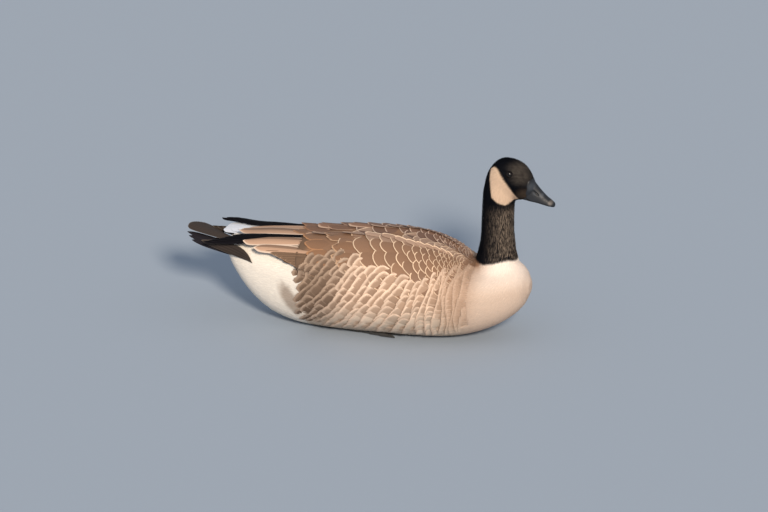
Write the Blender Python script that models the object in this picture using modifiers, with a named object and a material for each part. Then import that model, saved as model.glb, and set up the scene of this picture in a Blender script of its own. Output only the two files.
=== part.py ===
"""A Canada goose afloat, as a still life-size model that rests on its belly.

Metres. +X runs to the bill, +Y to the bird's left, +Z up. The belly rests on z = 0.
Each flesh part is cut from one smooth body, so the parts follow one outline.
"""

import math

import bmesh
import bpy
from mathutils import Matrix, Vector

# Room left between two pieces that touch.
GAP = 0.0003
# A grown copy falls short of its growth beside an edge, so it grows by a little more.
CUTTER_GROWTH = 0.0005

# Trunk: x, belly z, back z, half width, z where it is widest.
TRUNK_STATIONS = (
    (-0.252, 0.116, 0.136, 0.014, 0.127),
    (-0.240, 0.094, 0.142, 0.030, 0.122),
    (-0.220, 0.062, 0.147, 0.042, 0.113),
    (-0.190, 0.030, 0.151, 0.055, 0.104),
    (-0.150, 0.008, 0.155, 0.070, 0.096),
    (-0.100, -0.001, 0.160, 0.087, 0.092),
    (-0.040, -0.002, 0.166, 0.101, 0.090),
    (0.030, -0.002, 0.169, 0.106, 0.090),
    (0.090, -0.002, 0.164, 0.105, 0.090),
    (0.140, 0.000, 0.149, 0.099, 0.088),
    (0.180, 0.007, 0.130, 0.088, 0.086),
    (0.220, 0.022, 0.129, 0.072, 0.088),
    (0.250, 0.041, 0.132, 0.053, 0.091),
    (0.269, 0.061, 0.119, 0.033, 0.093),
    (0.2785, 0.080, 0.104, 0.014, 0.093),
)
# How square the sections are: 2 is an ellipse.
BACK_SQUARENESS = 2.0
BELLY_SQUARENESS = 2.35
HEAD_SQUARENESS = 2.15
# How much the rings of a loft crowd towards its ends.
RING_CROWDING = 0.45
TRUNK_RINGS = 34
TRUNK_SIDES = 36

# Neck: z, x at the nape, x at the throat, half width.
NECK_STATIONS = (
    (0.085, 0.176, 0.258, 0.046),
    (0.115, 0.177, 0.257, 0.044),
    (0.135, 0.182, 0.256, 0.038),
    (0.152, 0.1865, 0.2520, 0.032),
    (0.170, 0.1900, 0.2505, 0.0285),
    (0.190, 0.1915, 0.2485, 0.0265),
    (0.212, 0.1920, 0.2485, 0.0258),
    (0.234, 0.1930, 0.2490, 0.0252),
    (0.262, 0.1945, 0.2500, 0.0245),
    (0.285, 0.1995, 0.2460, 0.0215),
)
NECK_RINGS = 22
NECK_SIDES = 26

# Head, along an axis tilted down to the bill: distance ahead, crown, chin, half width.
HEAD_CENTRE = Vector((0.2352, 0.0, 0.2815))
HEAD_TILT = math.radians(25.0)
HEAD_STATIONS = (
    (-0.0375, 0.003, -0.010, 0.005),
    (-0.0345, 0.014, -0.020, 0.0140),
    (-0.0265, 0.0275, -0.029, 0.0200),
    (-0.0145, 0.0350, -0.032, 0.0232),
    (0.0000, 0.0392, -0.0325, 0.0243),
    (0.0120, 0.0396, -0.0310, 0.0240),
    (0.0230, 0.0362, -0.0275, 0.0222),
    (0.0330, 0.0300, -0.0235, 0.0190),
    (0.0430, 0.0212, -0.0185, 0.0150),
    (0.0500, 0.0150, -0.0155, 0.0120),
)
HEAD_RINGS = 22
HEAD_SIDES = 28

# Bill, on the head's axis: distance ahead, culmen, underside, half width.
BILL_STATIONS = (
    (0.0340, 0.0285, -0.0195, 0.0150),
    (0.0430, 0.0200, -0.0168, 0.0138),
    (0.0530, 0.0146, -0.0139, 0.0120),
    (0.0640, 0.0096, -0.0111, 0.0108),
    (0.0750, 0.0056, -0.0090, 0.0100),
    (0.0850, 0.0034, -0.0075, 0.0088),
    (0.0905, 0.0019, -0.0063, 0.0064),
    (0.0934, -0.0008, -0.0056, 0.0022),
)
# The line where the bill closes: its height at the axis's start and its rise per metre.
GAPE_HEIGHT = -0.0105
GAPE_RISE = 0.066
LOWER_BILL_SHORTER = 0.0030
LOWER_BILL_WIDTH = 0.93
# Powers that set how arched each half is and how full its sides are.
UPPER_BILL_ARCH = 1.15
LOWER_BILL_ARCH = 0.7
BILL_FULLNESS = 0.8
BILL_RINGS = 12
BILL_SIDES = 10

EYE_RADIUS = 0.0062
EYE_SEGMENTS = 16
EYE_RINGS = 10
EYE_PLACE = Vector((0.2430, 0.0192, 0.2965))

# Folded wing, on a surface like the trunk's that runs on behind it: x, back z, half width,
# z where it is widest, upper angle, lower angle, thickness outside, thickness inside.
WING_STATIONS = (
    (0.158, 0.140, 0.0935, 0.088, 74, 46, 0.0010, 0.004),
    (0.140, 0.149, 0.0990, 0.088, 80, 30, 0.0035, 0.006),
    (0.100, 0.162, 0.1040, 0.089, 85, 18, 0.0060, 0.008),
    (0.040, 0.168, 0.1060, 0.090, 87, 17, 0.0070, 0.008),
    (-0.020, 0.167, 0.1040, 0.091, 87, 18, 0.0070, 0.008),
    (-0.080, 0.161, 0.0960, 0.096, 86, 16, 0.0065, 0.008),
    (-0.130, 0.159, 0.0890, 0.104, 87, 24, 0.0055, 0.008),
    (-0.170, 0.157, 0.0840, 0.112, 86, 30, 0.0045, 0.008),
    (-0.205, 0.153, 0.0800, 0.122, 82, 36, 0.0030, 0.006),
    (-0.224, 0.152, 0.0785, 0.128, 70, 40, 0.0022, 0.004),
    (-0.240, 0.152, 0.0770, 0.132, 55, 36, 0.0016, 0.0028),
    (-0.258, 0.151, 0.0745, 0.136, 44, 30, 0.0012, 0.0020),
    (-0.274, 0.1485, 0.0715, 0.138, 36, 29, 0.0006, 0.0010),
)
WING_EDGE = 0.0006
WING_FULLNESS = 0.6
WING_RINGS = 22
WING_STEPS = 8

# Tail: a fan of quills, from its root inside the rump to the scalloped tip.
TAIL_ROOT = Vector((-0.200, 0.0, 0.121))
TAIL_TILT = math.radians(14.0)
TAIL_LENGTH = 0.124
TAIL_QUILLS = 16
TAIL_HALF_ANGLE = math.radians(15.0)
TAIL_ROOT_HALF_WIDTH = 0.014
TAIL_THICKNESS = 0.0030
# How far the outer quills hang below the middle ones, at the root and at the tip.
TAIL_DROOP_ROOT = 0.011
TAIL_DROOP_TIP = 0.003
TAIL_OUTER_QUILL = 0.86
TAIL_SCALLOP = 0.025
TAIL_STEPS = 5
# Columns of points across each quill.
TAIL_COLUMNS = 4

# Foot, folded flat under the flank: heel, ball and toe tips on the floor.
FOOT_SIDE = 0.043
HEEL_X = -0.088
HEEL_SIDE = 0.036
HEEL_HEIGHT = 0.0085
BALL_X = -0.010
BALL_HEIGHT = 0.0040
FOOT_SPLAY = math.radians(2.0)
SHANK_RADIUS = 0.0050
SHANK_WIDTHS = (0.8, 1.25, 0.85, 1.0)
SHANK_STUB = 0.006
TOE_LENGTHS = (0.062, 0.080, 0.070)
TOE_ANGLES = (math.radians(-15.0), math.radians(0.0), math.radians(13.0))
TOE_RADIUS = 0.0042
# Shares of a toe's length and radius, thick at each joint and thin between.
TOE_PLACES = (0.0, 0.30, 0.36, 0.62, 0.68, 0.92, 1.0)
TOE_WIDTHS = (1.0, 0.82, 1.0, 0.76, 0.92, 0.66, 0.55)
CLAW_LENGTH = 0.009
CLAW_RISE = 0.0005
CLAW_DROP = 0.0018
CLAW_RADII = (0.0017, 0.0006)
HIND_TOE_LENGTH = 0.018
HIND_TOE_HEADING = Vector((-0.5, -0.85, 0))
HIND_TOE_RADII = (0.0034, 0.0014)
WEB_THICKNESS = 0.0018
WEB_HEIGHT = 0.0026
WEB_REACH = 0.9
WEB_HEEL = 0.006
WEB_SCALLOP = 0.16
WEB_STEPS = 8
FOOT_VOXEL = 0.0011
FOOT_SMOOTHING = 2
FOOT_KEEP = 0.030

# Flesh: voxel, smoothing and share of faces kept after the parts are joined.
FLESH_VOXEL = 0.0035
FLESH_SMOOTHING = 6
FLESH_KEEP = 0.0365

# Cuts between the flesh parts: a point on the cut and its slope, nose up.
NECK_CUT = Vector((0.1780, 0.0, 0.1270))
NECK_CUT_SLOPE = math.radians(9.0)
HEAD_CUT = Vector((0.1800, 0.0, 0.2600))
HEAD_CUT_SLOPE = math.radians(-17.0)
CUT_BOX = 0.30


def clear_scene():
    for thing in list(bpy.data.objects):
        bpy.data.objects.remove(thing)


def collection_named(name):
    made = bpy.data.collections.new(name)
    bpy.context.scene.collection.children.link(made)
    return made


def material_named(name, colour, roughness, metallic=0.0):
    made = bpy.data.materials.new(name)
    made.use_nodes = True
    shader = made.node_tree.nodes["Principled BSDF"]
    shader.inputs["Base Color"].default_value = (*colour, 1.0)
    shader.inputs["Roughness"].default_value = roughness
    shader.inputs["Metallic"].default_value = metallic
    made.diffuse_color = (*colour, 1.0)
    return made


def object_from(name, mesh, group, material=None):
    made = bpy.data.objects.new(name, mesh)
    group.objects.link(made)
    if material is not None:
        mesh.materials.clear()
        mesh.materials.append(material)
    return made


def settled(thing, name, group, material=None):
    """The object as its modifiers leave it, as a plain mesh object; the first one goes."""
    graph = bpy.context.evaluated_depsgraph_get()
    mesh = bpy.data.meshes.new_from_object(thing.evaluated_get(graph))
    mesh.transform(thing.matrix_world)
    bpy.data.objects.remove(thing)
    mesh.name = name
    return object_from(name, mesh, group, material)


def smooth_row(stations, position):
    """The numbers of a station at a share of the way along the list, without overshoot."""
    place = position * (len(stations) - 1)
    first = min(int(place), len(stations) - 2)
    t = place - first

    def slope(index, column):
        if index in (0, len(stations) - 1):
            return 0.0 if column else stations[1][0] - stations[0][0]
        before = stations[index][column] - stations[index - 1][column]
        after = stations[index + 1][column] - stations[index][column]
        if before * after <= 0:
            return 0.0
        return 2 * before * after / (before + after)

    row = []
    for column in range(len(stations[0])):
        a, b = stations[first][column], stations[first + 1][column]
        m, n = slope(first, column), slope(first + 1, column)
        row.append(
            a * (1 + 2 * t) * (1 - t) ** 2
            + m * t * (1 - t) ** 2
            + b * t * t * (3 - 2 * t)
            - n * t * t * (1 - t)
        )
    return row


def eased(index, count):
    """Shares from 0 to 1 that crowd a little at both ends."""
    t = index / (count - 1)
    return (1 - RING_CROWDING) * t + RING_CROWDING * (0.5 - 0.5 * math.cos(math.pi * t))


def loft(name, rings, group, material=None):
    """A closed skin over rings of equal length, with a flat cap at each end."""
    shape = bmesh.new()
    rows = [[shape.verts.new(point) for point in ring] for ring in rings]
    count = len(rings[0])
    for row, following in zip(rows, rows[1:]):
        for i in range(count):
            j = (i + 1) % count
            shape.faces.new((row[i], row[j], following[j], following[i]))
    shape.faces.new(rows[0])
    shape.faces.new(rows[-1])
    bmesh.ops.recalc_face_normals(shape, faces=shape.faces)
    mesh = bpy.data.meshes.new(name)
    shape.to_mesh(mesh)
    shape.free()
    return object_from(name, mesh, group, material)


def rounded(angle, above, below):
    """Sideways and upward shares of a point on a section whose two halves may differ."""
    c, s = math.cos(angle), math.sin(angle)
    power = 2.0 / (above if s > 0 else below)
    return math.copysign(abs(c) ** power, c), math.copysign(abs(s) ** power, s)


def trunk_ring(row):
    x, low, high, half, widest = row
    ring = []
    for i in range(TRUNK_SIDES):
        side, rise = rounded(2 * math.pi * i / TRUNK_SIDES, BACK_SQUARENESS, BELLY_SQUARENESS)
        reach = high - widest if rise > 0 else widest - low
        ring.append(Vector((x, half * side, widest + reach * rise)))
    return ring


def make_trunk(group):
    rows = [
        smooth_row(TRUNK_STATIONS, eased(i, TRUNK_RINGS)) for i in range(TRUNK_RINGS)
    ]
    return loft("flesh", [trunk_ring(row) for row in rows], group)


def make_neck(group):
    rings = []
    for i in range(NECK_RINGS):
        z, back, front, half = smooth_row(NECK_STATIONS, i / (NECK_RINGS - 1))
        middle, depth = (back + front) / 2, (front - back) / 2
        ring = []
        for j in range(NECK_SIDES):
            angle = 2 * math.pi * j / NECK_SIDES
            ring.append(
                Vector((middle + depth * math.cos(angle), half * math.sin(angle), z))
            )
        rings.append(ring)
    return loft("neck_loft", rings, group)


def head_point(ahead, side, up):
    """A point given along the head's own axis, to the left and towards the crown."""
    forward = Vector((math.cos(HEAD_TILT), 0, -math.sin(HEAD_TILT)))
    upward = Vector((math.sin(HEAD_TILT), 0, math.cos(HEAD_TILT)))
    return HEAD_CENTRE + ahead * forward + up * upward + Vector((0, side, 0))


def make_head(group):
    rings = []
    for i in range(HEAD_RINGS):
        ahead, crown, chin, half = smooth_row(HEAD_STATIONS, eased(i, HEAD_RINGS))
        middle, depth = (crown + chin) / 2, (crown - chin) / 2
        ring = []
        for j in range(HEAD_SIDES):
            angle = 2 * math.pi * j / HEAD_SIDES
            side, rise = rounded(angle, HEAD_SQUARENESS, HEAD_SQUARENESS)
            ring.append(head_point(ahead, half * side, middle + depth * rise))
        rings.append(ring)
    return loft("head_loft", rings, group)


def joined_flesh(group):
    """Trunk, neck and head as one smooth closed body, flat under the belly."""
    body = make_trunk(group)
    for extra in (make_neck(group), make_head(group)):
        join = body.modifiers.new("join", "BOOLEAN")
        join.operation = "UNION"
        join.object = extra
        body = settled(body, "flesh", group)
        bpy.data.objects.remove(extra)
    remesh = body.modifiers.new("remesh", "REMESH")
    remesh.mode = "VOXEL"
    remesh.voxel_size = FLESH_VOXEL
    soften = body.modifiers.new("soften", "SMOOTH")
    soften.factor = 0.5
    soften.iterations = FLESH_SMOOTHING
    thin_out = body.modifiers.new("thin_out", "DECIMATE")
    thin_out.ratio = FLESH_KEEP
    thin_out.use_symmetry = True
    thin_out.symmetry_axis = "Y"
    return settled(body, "flesh", group)


def box_cutter(name, group, corner_low, corner_high, matrix=None):
    bpy.ops.mesh.primitive_cube_add(size=1.0)
    box = bpy.context.object
    box.name = name
    for home in list(box.users_collection):
        home.objects.unlink(box)
    group.objects.link(box)
    low, high = Vector(corner_low), Vector(corner_high)
    box.data.transform(
        Matrix.Translation((low + high) / 2) @ Matrix.Diagonal((*(high - low), 1.0))
    )
    if matrix is not None:
        box.data.transform(matrix)
    box.hide_render = True
    box.display_type = "WIRE"
    return box


def cut(thing, cutter, operation="DIFFERENCE"):
    step = thing.modifiers.new("cut", "BOOLEAN")
    step.operation = operation
    step.object = cutter
    return thing


def half_space(name, group, point, slope, lift):
    """A box over a sloping cut, raised by lift; it reaches forward and up from the point."""
    turn = Matrix.Rotation(-slope, 4, "Y")
    size = CUT_BOX
    return box_cutter(
        name,
        group,
        (0.0, -size, lift),
        (size, size, size + lift),
        Matrix.Translation(point) @ turn,
    )


def inflated(thing, amount, group):
    """A copy of a closed mesh, grown along its normals, to cut a neighbour with."""
    grown = object_from(thing.name + "_cutter", thing.data.copy(), group)
    push = grown.modifiers.new("grow", "DISPLACE")
    push.strength = amount
    push.mid_level = 0.0
    grown = settled(grown, thing.name + "_cutter", group)
    grown.hide_render = True
    grown.display_type = "WIRE"
    return grown


def part_flesh(flesh, parts, cutters, materials, feet):
    """Cuts the one body into trunk, neck and head, with a thin gap at each cut."""
    above_neck = half_space("neck_cut_box", cutters, NECK_CUT, NECK_CUT_SLOPE, 0.0)
    above_neck_gap = half_space("neck_gap_box", cutters, NECK_CUT, NECK_CUT_SLOPE, -GAP)
    above_head = half_space("head_cut_box", cutters, HEAD_CUT, HEAD_CUT_SLOPE, 0.0)
    above_head_gap = half_space("head_gap_box", cutters, HEAD_CUT, HEAD_CUT_SLOPE, -GAP)
    trunk = object_from("trunk", flesh.data.copy(), parts)
    cut(trunk, above_neck_gap)
    cut(trunk, bpy.data.objects["floor_box"])
    for foot in feet:
        cut(trunk, inflated(foot, CUTTER_GROWTH, cutters))
    trunk = settled(trunk, "trunk", parts, materials["body_brown"])
    neck = object_from("neck", flesh.data.copy(), parts)
    cut(neck, above_neck, "INTERSECT")
    cut(neck, above_head_gap)
    neck = settled(neck, "neck", parts, materials["neck_black"])
    head = object_from("head", flesh.data.copy(), parts)
    cut(head, above_head, "INTERSECT")
    head = settled(head, "head", parts, materials["neck_black"])
    bpy.data.objects.remove(flesh)
    return trunk, neck, head


def half_ring(x_ahead, near, far, half, arch):
    """A bill section: a flat edge at near and an arched side that reaches far."""
    ring = []
    for i in range(BILL_SIDES + 1):
        angle = math.pi * i / BILL_SIDES
        side = half * math.copysign(abs(math.cos(angle)) ** BILL_FULLNESS, math.cos(angle))
        rise = abs(math.sin(angle)) ** arch
        ring.append(head_point(x_ahead, side, near + (far - near) * rise))
    return ring


def make_bill(parts, material, head_cutter):
    """Upper and lower bill, each cut off where the feathers of the face begin."""
    made = []
    for name, arch in (("bill_upper", UPPER_BILL_ARCH), ("bill_lower", LOWER_BILL_ARCH)):
        rings = []
        for i in range(BILL_RINGS):
            share = i / (BILL_RINGS - 1)
            ahead, culmen, under, half = smooth_row(BILL_STATIONS, share)
            if name == "bill_lower":
                ahead -= LOWER_BILL_SHORTER * share
            gape = GAPE_HEIGHT + GAPE_RISE * ahead
            if name == "bill_upper":
                rings.append(half_ring(ahead, gape + GAP / 2, culmen, half, arch))
            else:
                width = half * LOWER_BILL_WIDTH
                rings.append(half_ring(ahead, gape - GAP / 2, under, width, arch))
        piece = cut(loft(name, rings, parts), head_cutter)
        made.append(settled(piece, name, parts, material))
    return made


def make_eyes(parts, cutters, head, material):
    """Two eyes, and the sockets they sit in."""
    for name, side in (("eye_left", 1), ("eye_right", -1)):
        place = Vector((EYE_PLACE.x, side * EYE_PLACE.y, EYE_PLACE.z))
        for purpose, radius in (("eye", EYE_RADIUS), ("socket", EYE_RADIUS + GAP)):
            bpy.ops.mesh.primitive_uv_sphere_add(
                segments=EYE_SEGMENTS, ring_count=EYE_RINGS, radius=radius, location=place
            )
            ball = bpy.context.object
            for home in list(ball.users_collection):
                home.objects.unlink(ball)
            if purpose == "eye":
                ball.name = name
                parts.objects.link(ball)
                ball.data.materials.append(material)
                ball.data.shade_smooth()
            else:
                ball.name = name + "_socket"
                cutters.objects.link(ball)
                ball.hide_render = True
                ball.display_type = "WIRE"
                cut(head, ball)
    return settled(head, "head", parts)


def wing_ring(row, side):
    """A section of the folded wing: out over the feathers, back along the flank."""
    x, high, half, widest, upper, lower, outside, inside = row

    def point(angle, lift):
        across, rise = rounded(math.radians(angle), BACK_SQUARENESS, BELLY_SQUARENESS)
        base = Vector((x, half * across, widest + (high - widest) * rise))
        steep = math.radians(angle)
        normal = Vector((0, math.cos(steep) * (high - widest), math.sin(steep) * half))
        out = base + normal.normalized() * lift
        return Vector((out.x, out.y * side, out.z))

    angles = [upper + (lower - upper) * i / WING_STEPS for i in range(WING_STEPS + 1)]
    ring = []
    for i, angle in enumerate(angles):
        swell = math.sin(math.pi * i / WING_STEPS) ** WING_FULLNESS
        ring.append(point(angle, outside * swell + WING_EDGE))
    for angle in reversed(angles):
        ring.append(point(angle, -inside))
    return ring


def make_wings(parts, material, trunk_cutter):
    for name, side in (("wing_left", 1), ("wing_right", -1)):
        rows = [
            smooth_row(WING_STATIONS, eased(i, WING_RINGS)) for i in range(WING_RINGS)
        ]
        wing = cut(loft(name, [wing_ring(row, side) for row in rows], parts), trunk_cutter)
        settled(wing, name, parts, material)


def make_tail(parts, material, trunk_cutter):
    """A thin arched fan, each quill's rounded end showing along its rear edge."""
    shape = bmesh.new()
    across, along = TAIL_QUILLS * TAIL_COLUMNS, TAIL_STEPS
    rows = []
    for i in range(across + 1):
        share = 2 * i / across - 1
        angle = share * TAIL_HALF_ANGLE
        scallop = abs(math.sin(math.pi * i / TAIL_COLUMNS)) ** 0.5
        reach = TAIL_LENGTH * (1 - (1 - TAIL_OUTER_QUILL) * share * share)
        reach *= 1 - TAIL_SCALLOP * (1 - scallop)
        row = []
        for j in range(along + 1):
            t = j / along
            x = -reach * t * math.cos(angle)
            y = share * TAIL_ROOT_HALF_WIDTH + reach * t * math.sin(angle)
            droop = TAIL_DROOP_ROOT + (TAIL_DROOP_TIP - TAIL_DROOP_ROOT) * t
            z = -droop * share * share
            row.append(shape.verts.new((x, y, z)))
        rows.append(row)
    for row, following in zip(rows, rows[1:]):
        for j in range(along):
            shape.faces.new((row[j], following[j], following[j + 1], row[j + 1]))
    mesh = bpy.data.meshes.new("tail")
    shape.to_mesh(mesh)
    shape.free()
    mesh.transform(
        Matrix.Translation(TAIL_ROOT) @ Matrix.Rotation(TAIL_TILT, 4, "Y")
    )
    tail = object_from("tail", mesh, parts)
    thick = tail.modifiers.new("thick", "SOLIDIFY")
    thick.thickness = TAIL_THICKNESS
    thick.offset = 0.0
    cut(tail, trunk_cutter)
    return settled(tail, "tail", parts, material)


def taper_tube(name, points, radii, group):
    """A round tube through a few points, its radius given at each."""
    line = bpy.data.curves.new(name, "CURVE")
    line.dimensions = "3D"
    line.bevel_depth = 1.0
    line.bevel_resolution = 3
    line.use_fill_caps = True
    run = line.splines.new("POLY")
    run.points.add(len(points) - 1)
    for place, point, radius in zip(run.points, points, radii):
        place.co = (*point, 1.0)
        place.radius = radius
    return object_from(name, line, group)


def foot_outline(ball, directions):
    """The web's outline: out along the first toe, scalloped between toes, and back."""
    tips = [ball + d * length * WEB_REACH for d, length in zip(directions, TOE_LENGTHS)]
    outline = [ball - directions[1] * WEB_HEEL]
    for tip, following in zip(tips, tips[1:]):
        for i in range(WEB_STEPS):
            t = i / WEB_STEPS
            chord = tip.lerp(following, t)
            outline.append(chord.lerp(ball, WEB_SCALLOP * math.sin(math.pi * t)))
    outline.append(tips[-1])
    return outline


def make_foot(name, side, parts, material):
    """Shank laid back along the floor, three webbed toes forward, one short toe behind."""
    heading = Vector((math.cos(FOOT_SPLAY), side * math.sin(FOOT_SPLAY), 0))
    ball = Vector((BALL_X, side * FOOT_SIDE, BALL_HEIGHT))
    heel = Vector((HEEL_X, side * HEEL_SIDE, HEEL_HEIGHT))
    turns = [Matrix.Rotation(-side * angle, 3, "Z") for angle in TOE_ANGLES]
    directions = [turn @ heading for turn in turns]
    shank = [heel - Vector((SHANK_STUB, 0, 0)), heel, heel.lerp(ball, 0.5), ball]
    radii = [SHANK_RADIUS * width for width in SHANK_WIDTHS]
    tubes = [taper_tube("shank", shank, radii, parts)]
    for direction, length in zip(directions, TOE_LENGTHS):
        points = [ball + direction * length * place for place in TOE_PLACES]
        radii = [TOE_RADIUS * width for width in TOE_WIDTHS]
        middle = direction * CLAW_LENGTH / 2 + Vector((0, 0, CLAW_RISE))
        end = direction * CLAW_LENGTH - Vector((0, 0, CLAW_DROP))
        points += [points[-1] + middle, points[-1] + end]
        tubes.append(taper_tube("toe", points, [*radii, *CLAW_RADII], parts))
    inward = HIND_TOE_HEADING.normalized()
    inward.y *= side
    hind = ball + inward * HIND_TOE_LENGTH
    tubes.append(taper_tube("hind_toe", [ball, hind], HIND_TOE_RADII, parts))
    shape = bmesh.new()
    corners = foot_outline(ball, directions)
    edge = [shape.verts.new((p.x, p.y, WEB_HEIGHT)) for p in corners]
    shape.faces.new(edge)
    mesh = bpy.data.meshes.new("web")
    shape.to_mesh(mesh)
    shape.free()
    web = object_from("web", mesh, parts)
    thick = web.modifiers.new("thick", "SOLIDIFY")
    thick.thickness = WEB_THICKNESS
    thick.offset = 0.0
    return fused_foot(name, [*tubes, web], parts, material)


def fused_foot(name, pieces, parts, material):
    """The foot's pieces as one skin, flat where it meets the floor."""
    whole = bmesh.new()
    graph = bpy.context.evaluated_depsgraph_get()
    for piece in pieces:
        mesh = bpy.data.meshes.new_from_object(piece.evaluated_get(graph))
        whole.from_mesh(mesh)
        bpy.data.meshes.remove(mesh)
        bpy.data.objects.remove(piece)
    bmesh.ops.remove_doubles(whole, verts=whole.verts, dist=1e-6)
    mesh = bpy.data.meshes.new(name)
    whole.to_mesh(mesh)
    whole.free()
    foot = object_from(name, mesh, parts)
    remesh = foot.modifiers.new("remesh", "REMESH")
    remesh.mode = "VOXEL"
    remesh.voxel_size = FOOT_VOXEL
    soften = foot.modifiers.new("soften", "SMOOTH")
    soften.factor = 0.5
    soften.iterations = FOOT_SMOOTHING
    thin_out = foot.modifiers.new("thin_out", "DECIMATE")
    thin_out.ratio = FOOT_KEEP
    cut(foot, bpy.data.objects["floor_box"])
    return settled(foot, name, parts, material)


def centre(parts):
    """Moves the whole model along X so that its origin is under the middle of its length."""
    corners = [
        thing.matrix_world @ Vector(corner)
        for thing in parts.objects
        for corner in thing.bound_box
    ]
    low = min(corner.x for corner in corners)
    high = max(corner.x for corner in corners)
    for thing in parts.objects:
        thing.location.x -= (low + high) / 2


def main():
    clear_scene()
    parts = collection_named("canada_goose")
    cutters = collection_named("cutters")
    materials = {
        "body_brown": material_named("body_brown", (0.42, 0.31, 0.23), 0.8),
        "neck_black": material_named("neck_black", (0.012, 0.011, 0.011), 0.7),
        "wing_brown": material_named("wing_brown", (0.24, 0.16, 0.11), 0.7),
        "tail_black": material_named("tail_black", (0.03, 0.025, 0.022), 0.65),
        "bill_black": material_named("bill_black", (0.02, 0.021, 0.024), 0.35),
        "eye_dark": material_named("eye_dark", (0.012, 0.007, 0.004), 0.05),
        "foot_grey": material_named("foot_grey", (0.05, 0.05, 0.048), 0.5),
    }
    box_cutter(
        "floor_box", cutters, (-CUT_BOX, -CUT_BOX, -CUT_BOX), (CUT_BOX, CUT_BOX, 0.0)
    )
    feet = [
        make_foot(name, side, parts, materials["foot_grey"])
        for name, side in (("leg_left", 1), ("leg_right", -1))
    ]
    flesh = joined_flesh(parts)
    trunk, neck, head = part_flesh(flesh, parts, cutters, materials, feet)
    trunk_cutter = inflated(trunk, CUTTER_GROWTH, cutters)
    head_cutter = inflated(head, CUTTER_GROWTH, cutters)
    make_bill(parts, materials["bill_black"], head_cutter)
    make_eyes(parts, cutters, head, materials["eye_dark"])
    make_wings(parts, materials["wing_brown"], trunk_cutter)
    make_tail(parts, materials["tail_black"], trunk_cutter)
    bpy.context.view_layer.update()
    centre(parts)


main()
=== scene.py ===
import math

import bmesh
import bpy
import numpy as np
from mathutils import Matrix, Vector
from mathutils.bvhtree import BVHTree
from mathutils.kdtree import KDTree


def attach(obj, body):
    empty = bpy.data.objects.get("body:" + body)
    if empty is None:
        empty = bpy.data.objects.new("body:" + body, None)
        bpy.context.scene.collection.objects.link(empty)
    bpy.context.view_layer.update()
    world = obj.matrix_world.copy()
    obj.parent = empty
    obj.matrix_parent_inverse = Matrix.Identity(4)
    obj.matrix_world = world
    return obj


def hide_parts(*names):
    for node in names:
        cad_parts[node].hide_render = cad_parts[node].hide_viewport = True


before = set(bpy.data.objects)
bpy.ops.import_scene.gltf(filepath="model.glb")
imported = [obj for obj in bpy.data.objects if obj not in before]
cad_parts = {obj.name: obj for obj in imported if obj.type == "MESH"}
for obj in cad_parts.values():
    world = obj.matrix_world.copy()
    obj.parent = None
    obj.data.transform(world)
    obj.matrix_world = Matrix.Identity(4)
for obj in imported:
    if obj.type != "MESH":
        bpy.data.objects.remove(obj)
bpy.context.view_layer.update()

# A Canada goose afloat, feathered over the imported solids. Metres, in the frame's axes.
# Places below are those of the part's own script, and SHIFT moves them into the frame.
SHIFT = np.array((0.000545, 0.0, 0.0))
FLOOR_CLEARANCE = 0.0002
RANDOM = np.random.default_rng(4705)

# Skin: the joined flesh, remeshed and smoothed, then sunk by the depth of the coat.
VOXEL = 0.0025
SMOOTHING = 8
WING_BACK = -0.115
# How far the back of the head is drawn in, so that the crown stands over the cheek.
NAPE_TRIM = 0.0040

# The lie of the feathers turns round two points, one over the breast and one in the head.
BREAST_FAN = (0.172, 0.150)
HEAD_FAN = (0.250, 0.250)
BREAST_RADIUS = 0.075
HEAD_RADIUS = 0.045
FACE_TILT = math.radians(25.0)
SPINE_Z = 0.095
# Turns round the body are unrolled at this radius in the bake map.
UNWRAP_RADIUS = 0.08

# Markings, as places in x and z.
NECK_EDGE_X = (0.170, 0.185, 0.198, 0.215, 0.2416, 0.258, 0.280)
NECK_EDGE_Z = (0.140, 0.137, 0.1350, 0.1380, 0.143, 0.1385, 0.136)
CHEEK = (
    (0.2098, 0.3005), (0.2155, 0.3052), (0.2212, 0.3046), (0.2262, 0.2995),
    (0.2300, 0.2930), (0.2352, 0.2852), (0.2412, 0.2772), (0.2464, 0.2698),
    (0.2548, 0.2563), (0.2580, 0.2513), (0.2498, 0.2488), (0.2424, 0.2423),
    (0.2370, 0.2403), (0.2249, 0.2446), (0.2140, 0.2535), (0.2096, 0.2818),
)
# Where flank feathers lie over the wing: x, and degrees from the top of the back.
FLANK_EDGE_X = (-0.115, -0.097, -0.045, -0.017, 0.017, 0.064, 0.098, 0.125, 0.145, 0.165)
FLANK_EDGE_ANGLE = (64.0, 59.0, 50.0, 54.0, 62.0, 71.0, 75.0, 68.0, 58.0, 40.0)

# The folded wing's lower edge over the white vent: x, and degrees from the top of the back.
WING_EDGE_X = (-0.20, -0.16, -0.135, -0.10)
WING_EDGE_ANGLE = (38.0, 53.0, 61.0, 80.0)

# Colours, as linear values.
BLACK = np.array((0.0020, 0.0026, 0.0048))
# Brownish light painted on tufts at the front of the black neck: a painted sheen where the sun falls.
NECK_SHEEN = np.array((0.230, 0.180, 0.140))
FACE_SHEEN = np.array((0.068, 0.058, 0.050))
GAPE_TAN = np.array((0.130, 0.092, 0.064))
CHEEK_WHITE = np.array((0.59, 0.44, 0.325))
SCAPULAR = np.array((0.285, 0.162, 0.098))
SCAPULAR_DARK = np.array((0.170, 0.098, 0.064))
# A paler copy of the scapular brown: a painted highlight on the near side's upper back.
SCAPULAR_SHEEN = np.array((0.440, 0.300, 0.225))
CREAM_RIM = np.array((0.74, 0.54, 0.38))
FLANK = np.array((0.430, 0.285, 0.200))
FLANK_RIM = np.array((0.80, 0.60, 0.46))
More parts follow.
